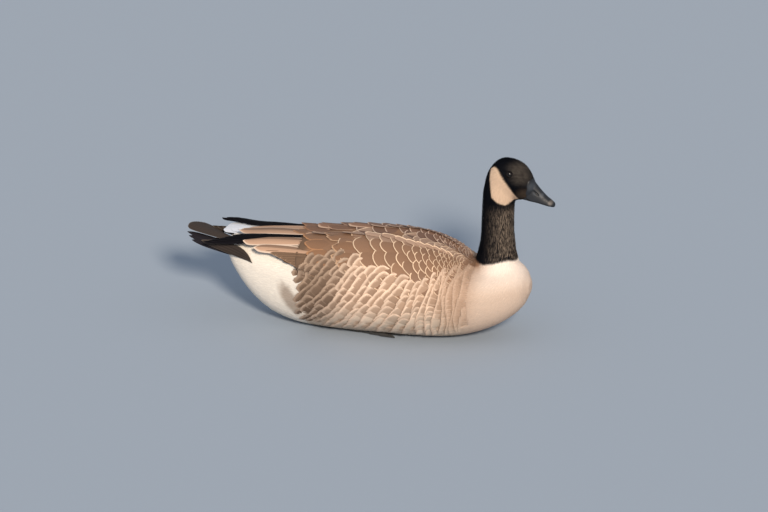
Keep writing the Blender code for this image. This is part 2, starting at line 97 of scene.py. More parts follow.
# Darker browns for the flank's rear and upper part, and for its rims there: painted shade on the side turned
# from the sun.
FLANK_REAR_SHADE = np.array((0.175, 0.114, 0.078))
FLANK_REAR_RIM_SHADE = np.array((0.375, 0.265, 0.192))
BREAST = np.array((0.87, 0.76, 0.68))
# A darker warm tone for the breast's lower part and the lower flank's rims: painted shade where the body
# turns under.
BREAST_LOW_SHADE = np.array((0.60, 0.465, 0.375))
BELLY = np.array((0.62, 0.51, 0.41))
VENT = np.array((0.90, 0.83, 0.74))
# White of the uppertail coverts painted blue-grey and dimmer: painted shade under the wings, lit by the sky.
UPPERTAIL_SHADED = np.array((0.72, 0.75, 0.82))
RUMP = np.array((0.016, 0.014, 0.014))
COVERT_ORANGE = np.array((0.40, 0.19, 0.085))
TERTIAL = np.array((0.395, 0.250, 0.172))
TERTIAL_RIM = np.array((0.68, 0.53, 0.42))
SECONDARY = np.array((0.165, 0.104, 0.068))
PRIMARY = np.array((0.0034, 0.0030, 0.0042))
TAIL = np.array((0.050, 0.039, 0.034))
# A darker copy of the tail's colour for the lower folded quills: painted shade under the upper ones.
TAIL_SHADED = np.array((0.018, 0.016, 0.020))
TAIL_RIM = np.array((0.12, 0.10, 0.085))
THIGH = np.array((0.24, 0.155, 0.105))

# The brown feathers where the leg leaves the flank: middle in x and z, way down, half sizes.
THIGH_PLACE = (-0.124, 0.060)
THIGH_WAY = (0.50, -0.866)
THIGH_SIZE = (0.034, 0.0150)


def smooth_step(low, high, values):
    t = np.clip((values - low) / (high - low), 0.0, 1.0)
    return t * t * (3.0 - 2.0 * t)


def smooth_between(x, places, values):
    """Values read between places without overshoot; places rise."""
    places, values = np.asarray(places, float), np.asarray(values, float)
    steps = np.diff(places)
    rises = np.diff(values) / steps
    slopes = np.zeros(len(places))
    slopes[0], slopes[-1] = rises[0], rises[-1]
    for i in range(1, len(places) - 1):
        if rises[i - 1] * rises[i] > 0:
            slopes[i] = 2 * rises[i - 1] * rises[i] / (rises[i - 1] + rises[i])
    x = np.clip(np.asarray(x, float), places[0], places[-1])
    i = np.clip(np.searchsorted(places, x) - 1, 0, len(places) - 2)
    t = (x - places[i]) / steps[i]
    return (
        values[i] * (1 + 2 * t) * (1 - t) ** 2
        + slopes[i] * steps[i] * t * (1 - t) ** 2
        + values[i + 1] * t * t * (3 - 2 * t)
        - slopes[i + 1] * steps[i] * t * t * (1 - t)
    )


def unit(vectors):
    return vectors / np.maximum(np.linalg.norm(vectors, axis=-1, keepdims=True), 1e-12)


def laid_flat(ways, normals):
    """Unit vectors along a surface with these normals, as near to the ways as they can be."""
    return unit(ways - normals * (ways * normals).sum(-1, keepdims=True))


def mixed(a, b, share):
    """Colours a and b mixed by a share for each row."""
    return a + (b - a) * np.asarray(share)[..., None]


def blotches(points, size, seed):
    """Smooth noise from 0 to 1, from a few crossed waves."""
    waves = np.random.default_rng(seed)
    total = np.zeros(len(points))
    for _ in range(7):
        way = unit(waves.normal(size=3)) * 2 * math.pi / (size * waves.uniform(0.6, 1.6))
        total += np.sin(points @ way + waves.uniform(0, 2 * math.pi))
    return 0.5 + 0.5 * np.tanh(total / 2.4)


# Surfaces

class Surface:
    """A triangle mesh that answers with its nearest point and a smooth normal."""

    def __init__(self, mesh):
        mesh.calc_loop_triangles()
        self.points = np.zeros(len(mesh.vertices) * 3, np.float32)
        mesh.vertices.foreach_get("co", self.points)
        self.points = self.points.reshape(-1, 3).astype(float)
        self.normals = np.zeros(len(mesh.vertices) * 3, np.float32)
        mesh.vertices.foreach_get("normal", self.normals)
        self.normals = self.normals.reshape(-1, 3).astype(float)
        self.corners = np.zeros(len(mesh.loop_triangles) * 3, np.int32)
        mesh.loop_triangles.foreach_get("vertices", self.corners)
        self.corners = self.corners.reshape(-1, 3)
        self.tree = BVHTree.FromPolygons(self.points.tolist(), self.corners.tolist())

    def smooth_normals(self, places, faces):
        a, b, c = (self.points[self.corners[faces, k]] for k in range(3))
        whole = np.cross(b - a, c - a)
        size = np.maximum((whole * whole).sum(-1), 1e-20)
        share_a = (np.cross(b - places, c - places) * whole).sum(-1) / size
        share_b = (np.cross(c - places, a - places) * whole).sum(-1) / size
        shares = np.clip(np.stack((share_a, share_b, 1 - share_a - share_b), -1), 0, 1)
        return unit((self.normals[self.corners[faces]] * shares[..., None]).sum(1))

    def nearest(self, points):
        shape = points.shape
        find = self.tree.find_nearest
        found = [find(point) for point in points.reshape(-1, 3).tolist()]
        places = np.array([hit[0][:] for hit in found])
        faces = np.array([hit[2] for hit in found])
        normals = self.smooth_normals(places, faces)
        return places.reshape(shape), normals.reshape(shape)

    def from_spine(self, x, angle):
        """The skin seen from the spine at x, at an angle from straight up; the sign is the side."""
        origins = np.stack((x, 0 * x, 0 * x + SPINE_Z), -1)
        ways = np.stack((0 * angle, np.sin(angle), np.cos(angle)), -1)
        cast = self.tree.ray_cast
        places = []
        for origin, way in zip(origins.tolist(), ways.tolist()):
            hit = cast(origin, way)
            places.append(hit[0][:] if hit[0] is not None else origin)
        return np.array(places)

    def scattered(self, spacing, where, tries):
        """Random places no nearer each other than spacing(places), where where(places) is true."""
        a, b, c = (self.points[self.corners[:, k]] for k in range(3))
        areas = np.linalg.norm(np.cross(b - a, c - a), axis=-1)
        areas = areas * where((a + b + c) / 3)
        picks = RANDOM.choice(len(areas), size=tries, p=areas / areas.sum())
        r, s = RANDOM.random(tries), RANDOM.random(tries)
        flip = r + s > 1
        r[flip], s[flip] = 1 - r[flip], 1 - s[flip]
        places = a[picks] + (b - a)[picks] * r[:, None] + (c - a)[picks] * s[:, None]
        places = places[where(places)]
        gaps = spacing(places)
        tree = KDTree(len(places))
        rows = places.tolist()
        for i, row in enumerate(rows):
            tree.insert(row, i)
        tree.balance()
        taken = np.zeros(len(places), bool)
        kept = []
        for i, (row, gap) in enumerate(zip(rows, gaps.tolist())):
            if taken[i]:
                continue
            kept.append(i)
            for _, j, _ in tree.find_range(row, gap):
                taken[j] = True
        return places[np.array(kept)]


def made_object(name, mesh):
    thing = bpy.data.objects.new(name, mesh)
    bpy.context.scene.collection.objects.link(thing)
    return thing


def applied(thing):
    """The mesh of an object as its modifiers leave it; the object goes."""
    graph = bpy.context.evaluated_depsgraph_get()
    mesh = bpy.data.meshes.new_from_object(thing.evaluated_get(graph))
    bpy.data.objects.remove(thing)
    return mesh


def fused_nodes(names, voxel, smoothing):
    """Nodes joined into one smooth mesh, in the part's own coordinates."""
    whole = bmesh.new()
    for name in names:
        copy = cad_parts[name].data.copy()
        copy.transform(Matrix.Translation(-Vector(SHIFT)))
        if name.startswith("wing"):
            for vertex in copy.vertices:
                vertex.co.x = max(vertex.co.x, WING_BACK)
        whole.from_mesh(copy)
        bpy.data.meshes.remove(copy)
    bmesh.ops.remove_doubles(whole, verts=whole.verts, dist=1e-6)
    mesh = bpy.data.meshes.new("fused")
    whole.to_mesh(mesh)
    whole.free()
    thing = made_object("fused", mesh)
    remesh = thing.modifiers.new("remesh", "REMESH")
    remesh.mode = "VOXEL"
    remesh.voxel_size = voxel
    soften = thing.modifiers.new("soften", "SMOOTH")
    soften.factor = 0.5
    soften.iterations = smoothing
    mesh = applied(thing)
    points = np.zeros(len(mesh.vertices) * 3, np.float32)
    mesh.vertices.foreach_get("co", points)
    points = points.reshape(-1, 3)
    x, z = points[:, 0].copy(), points[:, 2]
    points[:, 0] += NAPE_TRIM * smooth_step(0.258, 0.292, z) * smooth_step(0.250, 0.208, x)
    mesh.vertices.foreach_set("co", points.ravel())
    mesh.update()
    return mesh


# Where a place lies along and round the body

def head_share(points):
    x, z = points[..., 0], points[..., 2]
    return (z > HEAD_FAN[1]) | ((x > HEAD_FAN[0] + 0.0005) & (z > HEAD_FAN[1] - 0.018))


def fan_angles(points):
    """Turns round the breast's point and the head's point, in radians."""
    x, z = points[..., 0], points[..., 2]
    breast = np.clip(np.arctan2(x - BREAST_FAN[0], BREAST_FAN[1] - z), 0, math.pi / 2)
    head = np.arctan2(z - HEAD_FAN[1], x - HEAD_FAN[0])
    head = np.where(head < -math.pi / 2, math.pi, head)
    head = np.clip(head, math.pi / 2 - FACE_TILT, math.pi)
    return breast, head


def bill_ways(points):
    """Unit vectors from each place towards the bill, before they are laid on the skin."""
    breast, head = fan_angles(points)
    turn = np.where(head_share(points), head - math.pi / 2, breast)
    return np.stack((np.cos(turn), 0 * turn, np.sin(turn)), -1)


def unwrapped(points):
    """Length along the body and turn round it, both in metres, cut open under the belly."""
    x, y, z = points[..., 0], points[..., 1], points[..., 2]
    breast, head = fan_angles(points)
    in_head = head_share(points)
    ahead = (x - HEAD_FAN[0]) * math.cos(FACE_TILT) - (z - HEAD_FAN[1]) * math.sin(FACE_TILT)
    neck_start = BREAST_FAN[0] + BREAST_RADIUS * math.pi / 2
    head_start = neck_start + HEAD_FAN[1] - BREAST_FAN[1]
    face_start = head_start + HEAD_RADIUS * (math.pi / 2 + FACE_TILT)
    along = np.where(x < BREAST_FAN[0], x, BREAST_FAN[0] + BREAST_RADIUS * breast)
    in_neck = (z > BREAST_FAN[1]) & (x > BREAST_FAN[0])
    along = np.where(in_neck, neck_start + z - BREAST_FAN[1], along)
    in_face = head <= math.pi / 2 - FACE_TILT + 1e-6
    on_head = head_start + HEAD_RADIUS * (math.pi - head)
    on_head = np.where(in_face, face_start + np.maximum(ahead, 0), on_head)
    along = np.where(in_head, on_head, along)
    middle = smooth_between(x, (0.10, BREAST_FAN[0]), (SPINE_Z, BREAST_FAN[1] - BREAST_RADIUS))
    above = z - middle
    from_fan = np.hypot(x - BREAST_FAN[0], z - BREAST_FAN[1])
    above = np.where(x > BREAST_FAN[0], BREAST_RADIUS - from_fan, above)
    neck_middle = smooth_between(z, (BREAST_FAN[1], 0.175), (0.247, 0.221))
    above = np.where(in_neck, neck_middle - x, above)
    from_head = np.hypot(x - HEAD_FAN[0], z - HEAD_FAN[1])
    above = np.where(in_head, from_head - 0.032, above)
    return np.stack((along, np.arctan2(y, above) * UNWRAP_RADIUS), -1)


def back_angle(points):
    """Degrees from the top of the back, seen from the spine."""
    return np.degrees(np.arctan2(np.abs(points[..., 1]), points[..., 2] - SPINE_Z))


def inside_outline(points, outline):
    """Metres inside an outline in x and z; negative outside."""
    x, z = points[..., 0], points[..., 2]
    inside = np.zeros(x.shape, bool)
    distance = np.full(x.shape, 1.0)
    for (x0, z0), (x1, z1) in zip(outline, outline[1:] + outline[:1]):
        crosses = (z0 > z) != (z1 > z)
        reach = x0 + (z - z0) / (z1 - z0 if z1 != z0 else 1e-9) * (x1 - x0)
        inside ^= crosses & (x < reach)
        dx, dz = x1 - x0, z1 - z0
        t = np.clip(((x - x0) * dx + (z - z0) * dz) / (dx * dx + dz * dz), 0, 1)
        distance = np.minimum(distance, np.hypot(x - x0 - t * dx, z - z0 - t * dz))
    return np.where(inside, distance, -distance)


def neck_blackness(points):
    """1 in the black of neck and head, 0 on the body, with a narrow step between."""
    x, z = points[..., 0], points[..., 2]
    edge = smooth_between(x, NECK_EDGE_X, NECK_EDGE_Z)
    return smooth_step(-0.0012, 0.0012, z - edge) * (x > 0.1755)


def markings(points):
    """The bird's colour at each place on its skin."""
    x, z = points[:, 0], points[:, 2]
    angle = back_angle(points)
    flank_edge = smooth_between(x, FLANK_EDGE_X, FLANK_EDGE_ANGLE)
    # The flank is painted a darker brown behind and above: painted shade.
    flank = mixed(FLANK * np.ones((len(points), 1)), FLANK_REAR_SHADE, rear_shade_share(x, angle))
    share = smooth_step(-4, 4, angle - flank_edge)[:, None]
    colour = SCAPULAR * (1 - share) + flank * share
    colour = mixed(colour, BELLY, smooth_step(118, 142, angle))
    front = smooth_step(0.165, 0.215, x + 0.25 * (SPINE_Z - z))
    # The breast is painted darker towards the bottom: painted shade.
    breast = mixed(BREAST * np.ones((len(points), 1)), BREAST_LOW_SHADE, smooth_step(0.140, 0.088, z))
    front = (front * np.maximum(smooth_step(30, 60, angle), smooth_step(0.19, 0.2, x)))[:, None]
    colour = colour * (1 - front) + breast * front
    wing_edge = smooth_between(x, WING_EDGE_X, WING_EDGE_ANGLE)
    above_vent = smooth_step(3, -3, angle - wing_edge)
    colour = mixed(colour, VENT, smooth_step(-0.092, -0.104, x) * (1 - above_vent))
    colour = mixed(colour, SECONDARY, smooth_step(-0.092, -0.104, x) * above_vent)
    colour = mixed(colour, RUMP, smooth_step(-0.130, -0.160, x) * above_vent)
    colour = mixed(colour, VENT, smooth_step(-0.186, -0.190, x))
    back, down = x - THIGH_PLACE[0], z - THIGH_PLACE[1]
    along = (back * THIGH_WAY[0] + down * THIGH_WAY[1]) / THIGH_SIZE[0]
    across = (down * THIGH_WAY[0] - back * THIGH_WAY[1]) / THIGH_SIZE[1]
    from_thigh = np.hypot(along, across) + 0.12 * blotches(points, 0.010, 3)
    colour = mixed(colour, THIGH, 0.70 * smooth_step(1.35, 0.55, from_thigh))
    black = neck_blackness(points)
    dark = mixed(BLACK * np.ones((len(points), 1)), FACE_SHEEN, face_sheen(points))
    dark = mixed(dark, GAPE_TAN, 0.34 * smooth_step(0.018, 0.002, np.hypot(x - 0.2670, z - 0.2595)))
    cheek = inside_outline(points, CHEEK)
    dark = mixed(dark, CHEEK_WHITE, smooth_step(-0.0008, 0.0008, cheek))
    return mixed(colour, dark, black)


def rear_shade_share(x, angle):
    """How far the flank is painted a darker brown, behind and above: painted shade on its rear side."""
    return np.clip(smooth_step(-0.015, -0.075, x + 0.0006 * (angle - 95)), 0, 1)


def face_sheen(points):
    """How brownish grey the black is, most between the eye and the bill."""
    x, z = points[:, 0], points[:, 2]
    before_eye = np.hypot((x - 0.2640) / 0.022, (z - 0.2950) / 0.019)
    over_eye = np.hypot((x - 0.2560) / 0.020, (z - 0.3080) / 0.010)
    share = 0.85 * smooth_step(1.25, 0.25, before_eye) + 0.45 * smooth_step(1.2, 0.3, over_eye)
    return np.clip(share, 0, 1) * (0.65 + 0.40 * blotches(points, 0.009, 5))


def coat_depth(points):
    """How far the skin lies under the coat's outside."""
    x, z = points[..., 0], points[..., 2]
    depth = np.where(z > 0.15, 0.0022, 0.0042) * np.ones(x.shape)
    depth = np.where((z > 0.13) & (z <= 0.16) & (x > 0.17), 0.0026, depth)
    forward = (x - 0.2352) * math.cos(FACE_TILT) - (z - 0.2815) * math.sin(FACE_TILT)
    on_head = z > 0.245
    depth = np.where(on_head, 0.0016 - 0.0010 * smooth_step(0.010, 0.040, forward), depth)
    angle = back_angle(points)
    rear = ((x < -0.10) & (angle > 60)) | ((x < -0.150) & (angle > 30))
    plain = (z < 0.15) & ((angle > 128) | (x > 0.185) | rear)
    plain = plain | (inside_outline(points, CHEEK) > 0)
    return np.where(plain | (z < 0.012), 0.0005, depth)


# Feathers

class Shape:
    """A feather's outline: shares along, half widths there, and how far its edges lag."""

    def __init__(self, rows, widths, lags, columns):
        rows, widths, lags = (np.array(values)[:, None] for values in (rows, widths, lags))
        columns = np.array(columns)[None, :]
        self.columns = columns + 0 * rows
        self.along = rows + 0 * columns
        self.across = widths * columns
        self.lag = lags * columns * columns
        self.count = self.columns.shape
        high, wide = self.count
        grid = np.arange(high * wide).reshape(high, wide)
        under = grid.copy()
        under[1:-1, 1:-1] = high * wide + np.arange((high - 2) * (wide - 2)).reshape(high - 2, wide - 2)
        self.total = high * wide + (high - 2) * (wide - 2)
        self.faces = np.concatenate(
            (
                np.stack((grid[:-1, :-1], grid[1:, :-1], grid[1:, 1:], grid[:-1, 1:]), -1).reshape(-1, 4),
                np.stack((under[:-1, :-1], under[:-1, 1:], under[1:, 1:], under[1:, :-1]), -1).reshape(-1, 4),
            )
        )
        border = np.ones((high, wide), bool)
        border[1:-1, 1:-1] = False
        self.border = np.concatenate((border.ravel(), np.zeros(self.total - high * wide, bool)))

    def edge_distance(self, slenderness):
        """Distance to the outline at each point, in half widths, for a length in half widths."""
        flat = np.stack((self.across, self.along * slenderness - self.lag), -1)
        line = np.concatenate((flat[:, 0], flat[-1, 1:-1], flat[::-1, -1]))
        a, b = line[:-1], line[1:]
        step = b - a
        offset = flat.reshape(-1, 1, 2) - a
        t = np.clip((offset * step).sum(-1) / np.maximum((step * step).sum(-1), 1e-12), 0, 1)
        gap = np.linalg.norm(offset - t[..., None] * step, axis=-1).min(1)
        return gap.reshape(self.count)


CONTOUR = Shape(
    (0.0, 0.22, 0.42, 0.58, 0.72, 0.84, 0.93, 1.0),
    (0.35, 0.66, 0.88, 0.97, 1.0, 1.0, 0.95, 0.84),
    (0.0, 0.10, 0.22, 0.36, 0.48, 0.55, 0.56, 0.50),
    (-1.0, -0.80, -0.55, -0.28, 0.0, 0.28, 0.55, 0.80, 1.0),
)
PLUME = Shape(
    (0.0, 0.25, 0.45, 0.62, 0.76, 0.88, 1.0),
    (0.40, 0.72, 0.92, 1.0, 1.0, 0.98, 0.90),
    (0.0, 0.02, 0.04, 0.06, 0.08, 0.10, 0.12),
    (-1.0, -0.75, -0.45, -0.15, 0.15, 0.45, 0.75, 1.0),
)
SMALL = Shape(
    (0.0, 0.35, 0.62, 0.82, 0.94, 1.0),
    (0.40, 0.85, 1.0, 0.92, 0.74, 0.52),
    (0.0, 0.0, 0.05, 0.17, 0.32, 0.46),
    (-1.0, -0.5, 0.0, 0.5, 1.0),
)
TUFT = Shape(
    (0.0, 0.40, 0.78, 1.0),
    (0.55, 1.0, 0.78, 0.22),
    (0.0, 0.0, 0.15, 0.25),
    (-1.0, 0.0, 1.0),
)
BARB = Shape(
    (0.0, 0.50, 1.0),
    (0.60, 1.0, 0.15),
    (0.0, 0.10, 0.25),
    (-1.0, 0.0, 1.0),
)
BLADE = Shape(
    (0.0, 0.12, 0.24, 0.36, 0.48, 0.60, 0.72, 0.82, 0.90, 0.96, 1.0),
    (0.05, 0.30, 0.55, 0.80, 0.96, 1.0, 0.98, 0.92, 0.80, 0.60, 0.30),
    (0.0, 0.0, 0.0, 0.02, 0.05, 0.10, 0.16, 0.24, 0.34, 0.40, 0.40),
    (-1.0, -0.78, -0.5, -0.2, -0.06, 0.06, 0.2, 0.5, 0.78, 1.0),
)
LONG = Shape(
    (0.0, 0.10, 0.20, 0.32, 0.44, 0.56, 0.68, 0.78, 0.86, 0.92, 0.965, 1.0),
    (0.55, 0.72, 0.85, 0.95, 1.0, 1.0, 0.98, 0.94, 0.86, 0.74, 0.56, 0.30),
    (0.0, 0.0, 0.0, 0.0, 0.0, 0.02, 0.05, 0.12, 0.22, 0.34, 0.42, 0.40),
    (-1.0, -0.78, -0.5, -0.2, -0.06, 0.06, 0.2, 0.5, 0.78, 1.0),
)
QUILL = Shape(
    (0.0, 0.12, 0.26, 0.42, 0.58, 0.72, 0.83, 0.91, 0.965, 1.0),
    (0.60, 0.74, 0.86, 0.95, 1.0, 1.0, 0.98, 0.93, 0.84, 0.70),
    (0.0, 0.02, 0.05, 0.10, 0.18, 0.26, 0.32, 0.36, 0.38, 0.36),
    (-1.0, -0.78, -0.5, -0.2, -0.07, 0.07, 0.2, 0.5, 0.78, 1.0),
)


class Batch:
    """Feathers of one shape, as plain arrays that a piece joins."""

    def __init__(self, shape, top, up, thickness, tint, rim, rim_width, lengths, halves, chart):
        count = len(top)
        high, wide = shape.count
        inner = (top - up * thickness[:, None, None, None])[:, 1:-1, 1:-1]
        points = np.concatenate((top.reshape(count, -1, 3), inner.reshape(count, -1, 3)), 1)
        points[..., 2] = np.maximum(points[..., 2], FLOOR_CLEARANCE)
        self.points = points.reshape(-1, 3)
        first = np.arange(count)[:, None, None] * shape.total
        self.faces = (shape.faces[None] + first).reshape(-1, 4)
        self.border = np.tile(shape.border, count)
        across = shape.across[None] * halves[:, None, None]
        along = shape.along[None] * lengths[:, None, None] - shape.lag[None] * halves[:, None, None]
        edge = shape.edge_distance(float(np.mean(lengths / halves)))[None] * halves[:, None, None]
        edge = edge / rim_width[:, None, None]
        self.vane = self.spread(np.stack((across, along, edge), -1), count)
        self.tint = self.coloured(tint, count, high, wide)
        self.rim = self.coloured(rim, count, high, wide)
        self.roots = chart
        patch_along = 0.5 * (along / lengths[:, None, None] - 0.5)
        patch_across = 0.5 * shape.across[None] + 0 * across
        self.local = self.spread(np.stack((patch_along, patch_across), -1), count)
        self.owner = np.repeat(np.arange(count), shape.total)
        self.count = count

    @staticmethod
    def spread(values, count):
        inner = values[:, 1:-1, 1:-1]
        size = values.shape[-1]
        return np.concatenate(
            (values.reshape(count, -1, size), inner.reshape(count, -1, size)), 1
        ).reshape(-1, size)

    def coloured(self, colour, count, high, wide):
        colour = np.asarray(colour, float)
        if colour.ndim == 2:
            colour = np.broadcast_to(colour[:, None, None, :], (count, high, wide, 3))
        full = np.concatenate((colour, np.ones(colour.shape[:-1] + (1,))), -1)
        return self.spread(full, count)


def laid(surface, roots, ways, lengths, halves, shape, sink, lift, tilt=0.0, arch=0.0):
    """Feathers laid on a surface: their points and the surface's normals there.

    They rise from sink under it at the root to lift over it at the tip. Tilt raises the
    side that lies towards the belly, and arch raises the middle.
    """
    column = (slice(None), None, None)
    _, normals = surface.nearest(roots)
    ways = laid_flat(ways, normals)
    sides = np.cross(normals, ways)
    along = shape.along[None] * lengths[column] - shape.lag[None] * halves[column]
    across = shape.across[None] * halves[column]
    share = along / lengths[column]
    flat = roots[:, None, None] + along[..., None] * ways[:, None, None]
    flat = flat + across[..., None] * sides[:, None, None]
    places, up = surface.nearest(flat)
    sink, lift, tilt, arch = (
        np.asarray(value * np.ones(len(roots)))[column] for value in (sink, lift, tilt, arch)
    )
    down_side = np.sign(-(sides[:, 2]) + 1e-9)[column]
    height = lift - sink * (1 - share) + tilt * shape.columns[None] * down_side
    height = height - arch * shape.columns[None] ** 2
    return places + up * height[..., None], up


def new_piece(name, batches, material, patch, replaces=()):
    """One mesh of many feathers, with colours, vane coordinates and its bake map."""
    points = np.concatenate([batch.points for batch in batches]) + SHIFT
    starts = np.cumsum([0] + [len(batch.points) for batch in batches])
    faces = np.concatenate([batch.faces + start for batch, start in zip(batches, starts)])
    mesh = bpy.data.meshes.new(name)
    mesh.vertices.add(len(points))
    mesh.vertices.foreach_set("co", points.astype(np.float32).ravel())
    mesh.loops.add(faces.size)
    mesh.loops.foreach_set("vertex_index", faces.astype(np.int32).ravel())
    mesh.polygons.add(len(faces))
    mesh.polygons.foreach_set("loop_start", np.arange(0, faces.size, 4, dtype=np.int32))
    mesh.update(calc_edges=True)
    for label in ("tint", "rim"):
        values = np.concatenate([getattr(batch, label) for batch in batches])
        attribute = mesh.attributes.new(label, "FLOAT_COLOR", "POINT")
        attribute.data.foreach_set("color", values.astype(np.float32).ravel())
    values = np.concatenate([batch.vane for batch in batches])
    attribute = mesh.attributes.new("vane", "FLOAT_VECTOR", "POINT")
    attribute.data.foreach_set("vector", values.astype(np.float32).ravel())
    border = np.concatenate([batch.border for batch in batches])
    ends = np.zeros(len(mesh.edges) * 2, np.int32)
    mesh.edges.foreach_get("vertices", ends)
    sharp = border[ends.reshape(-1, 2)].all(1)
    attribute = mesh.attributes.new("sharp_edge", "BOOLEAN", "EDGE")
    attribute.data.foreach_set("value", sharp)
    write_bake_map(mesh, batches, faces, patch)
    mesh.materials.append(material)
    mesh.shade_smooth()
    thing = made_object(name, mesh)
    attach(thing, "root")
    if replaces:
        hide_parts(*replaces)
    return thing


def write_bake_map(mesh, batches, faces, patch):
    """Each feather is a small patch at its root's place on the unwrap of the skin."""
    roots = np.concatenate([batch.roots for batch in batches])
    low, high = roots.min(0), roots.max(0)
    roots = patch + (1 - 2 * patch) * (roots - low) / np.maximum(high - low, 1e-6)
    offsets = np.cumsum([0] + [batch.count for batch in batches])
    owner = np.concatenate([batch.owner + offset for batch, offset in zip(batches, offsets)])
    local = np.concatenate([batch.local for batch in batches])
    values = roots[owner] + local * patch
    layer = mesh.uv_layers.new(name="OFBake")
    layer.data.foreach_set("uv", values[faces.ravel()].astype(np.float32).ravel())


# Materials

class Nodes:
    """A short way to write a material's nodes."""

    def __init__(self, name):
        self.material = bpy.data.materials.new(name)
        self.material.use_nodes = True
        self.tree = self.material.node_tree
        self.shader = self.tree.nodes["Principled BSDF"]

    def add(self, kind, **settings):
        node = self.tree.nodes.new(kind)
        for key, value in settings.items():
            setattr(node, key, value)
        return node

    def link(self, output, socket):
        self.tree.links.new(output, socket)

    def fill(self, socket, value):
        if isinstance(value, bpy.types.NodeSocket):
            self.link(value, socket)
        else:
            socket.default_value = value

    def maths(self, operation, *values):
        node = self.add("ShaderNodeMath", operation=operation)
        for socket, value in zip(node.inputs, values):
            self.fill(socket, value)
        return node.outputs[0]

    def ramp(self, value, low, high, start=0.0, end=1.0):
        node = self.add("ShaderNodeMapRange", interpolation_type="SMOOTHSTEP")
        for socket, number in zip(node.inputs, (value, low, high, start, end)):
            self.fill(socket, number)
        return node.outputs[0]

    def mix(self, share, a, b):
        node = self.add("ShaderNodeMix", data_type="RGBA")
        self.fill(node.inputs["Factor"], share)
        self.fill(node.inputs["A"], a)
        self.fill(node.inputs["B"], b)
        return node.outputs["Result"]

    def attribute(self, name):
        return self.add("ShaderNodeAttribute", attribute_name=name)

    def noise(self, scale, detail=2.0, vector=None):
        node = self.add("ShaderNodeTexNoise")
        node.inputs["Scale"].default_value = scale
        node.inputs["Detail"].default_value = detail
        if vector is None:
            vector = self.add("ShaderNodeTexCoord").outputs["Object"]
        self.link(vector, node.inputs["Vector"])
        return node.outputs["Fac"]

    def scaled(self, colour, amount):
        """A colour times a number."""
        node = self.add("ShaderNodeVectorMath", operation="SCALE")
        self.fill(node.inputs["Vector"], colour)
        self.fill(node.inputs["Scale"], amount)
        return node.outputs["Vector"]

    def bump(self, height, strength, distance):
        node = self.add("ShaderNodeBump")
        node.inputs["Strength"].default_value = strength
        node.inputs["Distance"].default_value = distance
        self.link(height, node.inputs["Height"])
        self.link(node.outputs["Normal"], self.shader.inputs["Normal"])

    def surface(self, colour, roughness, specular=0.3):
        self.fill(self.shader.inputs["Base Color"], colour)
        self.fill(self.shader.inputs["Roughness"], roughness)
        self.shader.inputs["Specular IOR Level"].default_value = specular


def feather_material(
    name, roughness, softness=0.25, barb_pitch=0.0011, barb_depth=0.10, shaft=0.0, specular=0.25, ragged=0.12
):
    """Vane colour, a pale rim of its own width, fine barbs, and a shaft where one shows."""
    nodes = Nodes(name)
    split = nodes.add("ShaderNodeSeparateXYZ")
    nodes.link(nodes.attribute("vane").outputs["Vector"], split.inputs[0])
    across, along, edge = split.outputs
    wander = nodes.maths("MULTIPLY_ADD", nodes.noise(160.0), 2 * ragged, -ragged)
    edge = nodes.maths("ADD", edge, wander)
    rim_share = nodes.ramp(edge, 1.0 - softness, 1.0 + softness, 1.0, 0.0)
    tint, rim = (nodes.attribute(label).outputs["Color"] for label in ("tint", "rim"))
    colour = nodes.mix(rim_share, tint, rim)
    spread = nodes.maths("ABSOLUTE", across)
    lines = nodes.maths("MULTIPLY_ADD", spread, -0.8, along)
    lines = nodes.maths("SINE", nodes.maths("MULTIPLY", lines, 2 * math.pi / barb_pitch))
    worn = nodes.noise(420.0, 3.0)
    shade = nodes.maths("MULTIPLY_ADD", lines, barb_depth * 0.5, 1.0)
    shade = nodes.maths("MULTIPLY_ADD", nodes.maths("SUBTRACT", worn, 0.5), barb_depth * 3.0, shade)
    if shaft:
        line = nodes.ramp(spread, 0.0003, 0.0008, 1.0, 0.0)
        shade = nodes.maths("MULTIPLY_ADD", line, shaft, shade)
    nodes.surface(nodes.scaled(colour, shade), roughness, specular)
    nodes.bump(nodes.maths("MULTIPLY_ADD", lines, 0.25, nodes.maths("MULTIPLY", worn, 2.0)), 0.30, 0.0002)
    return nodes.material


def skin_material():
    nodes = Nodes("skin")
    worn = nodes.noise(300.0, 3.0)
    shade = nodes.maths("MULTIPLY_ADD", worn, 0.2, 0.88)
    nodes.surface(nodes.scaled(nodes.attribute("tint").outputs["Color"], shade), 0.9, 0.2)
    nodes.bump(worn, 0.3, 0.0004)
    return nodes.material


# Body, neck and head

def make_skin(mesh, surface):
    """The fused body sunk under its coat, coloured as the coat is."""
    points = surface.points - surface.normals * coat_depth(surface.points)[:, None]
    points[:, 2] = np.maximum(points[:, 2], FLOOR_CLEARANCE)
    skin = mesh.copy()
    skin.vertices.foreach_set("co", (points + SHIFT).astype(np.float32).ravel())
    colours = np.ones((len(points), 4))
    colours[:, :3] = markings(surface.points) * 0.95
    attribute = skin.attributes.new("tint", "FLOAT_COLOR", "POINT")
    attribute.data.foreach_set("color", colours.astype(np.float32).ravel())
    skin.materials.clear()
    skin.materials.append(skin_material())
    skin.polygons.foreach_set("use_smooth", [True] * len(skin.polygons))
    layer = skin.uv_layers.new(name="OFBake")
    chart = unwrapped(surface.points)
    chart = (chart - chart.min(0)) / (chart.max(0) - chart.min(0))
    corners = np.zeros(len(skin.loops), np.int32)
    skin.loops.foreach_get("vertex_index", corners)
    layer.data.foreach_set("uv", chart[corners].astype(np.float32).ravel())
    skin.update()
    thing = made_object("skin", skin)
    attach(thing, "root")
    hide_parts("trunk", "neck", "head")
    return thing


def varied(values, spread):
    return values * (1 + spread * RANDOM.standard_normal(len(values)))


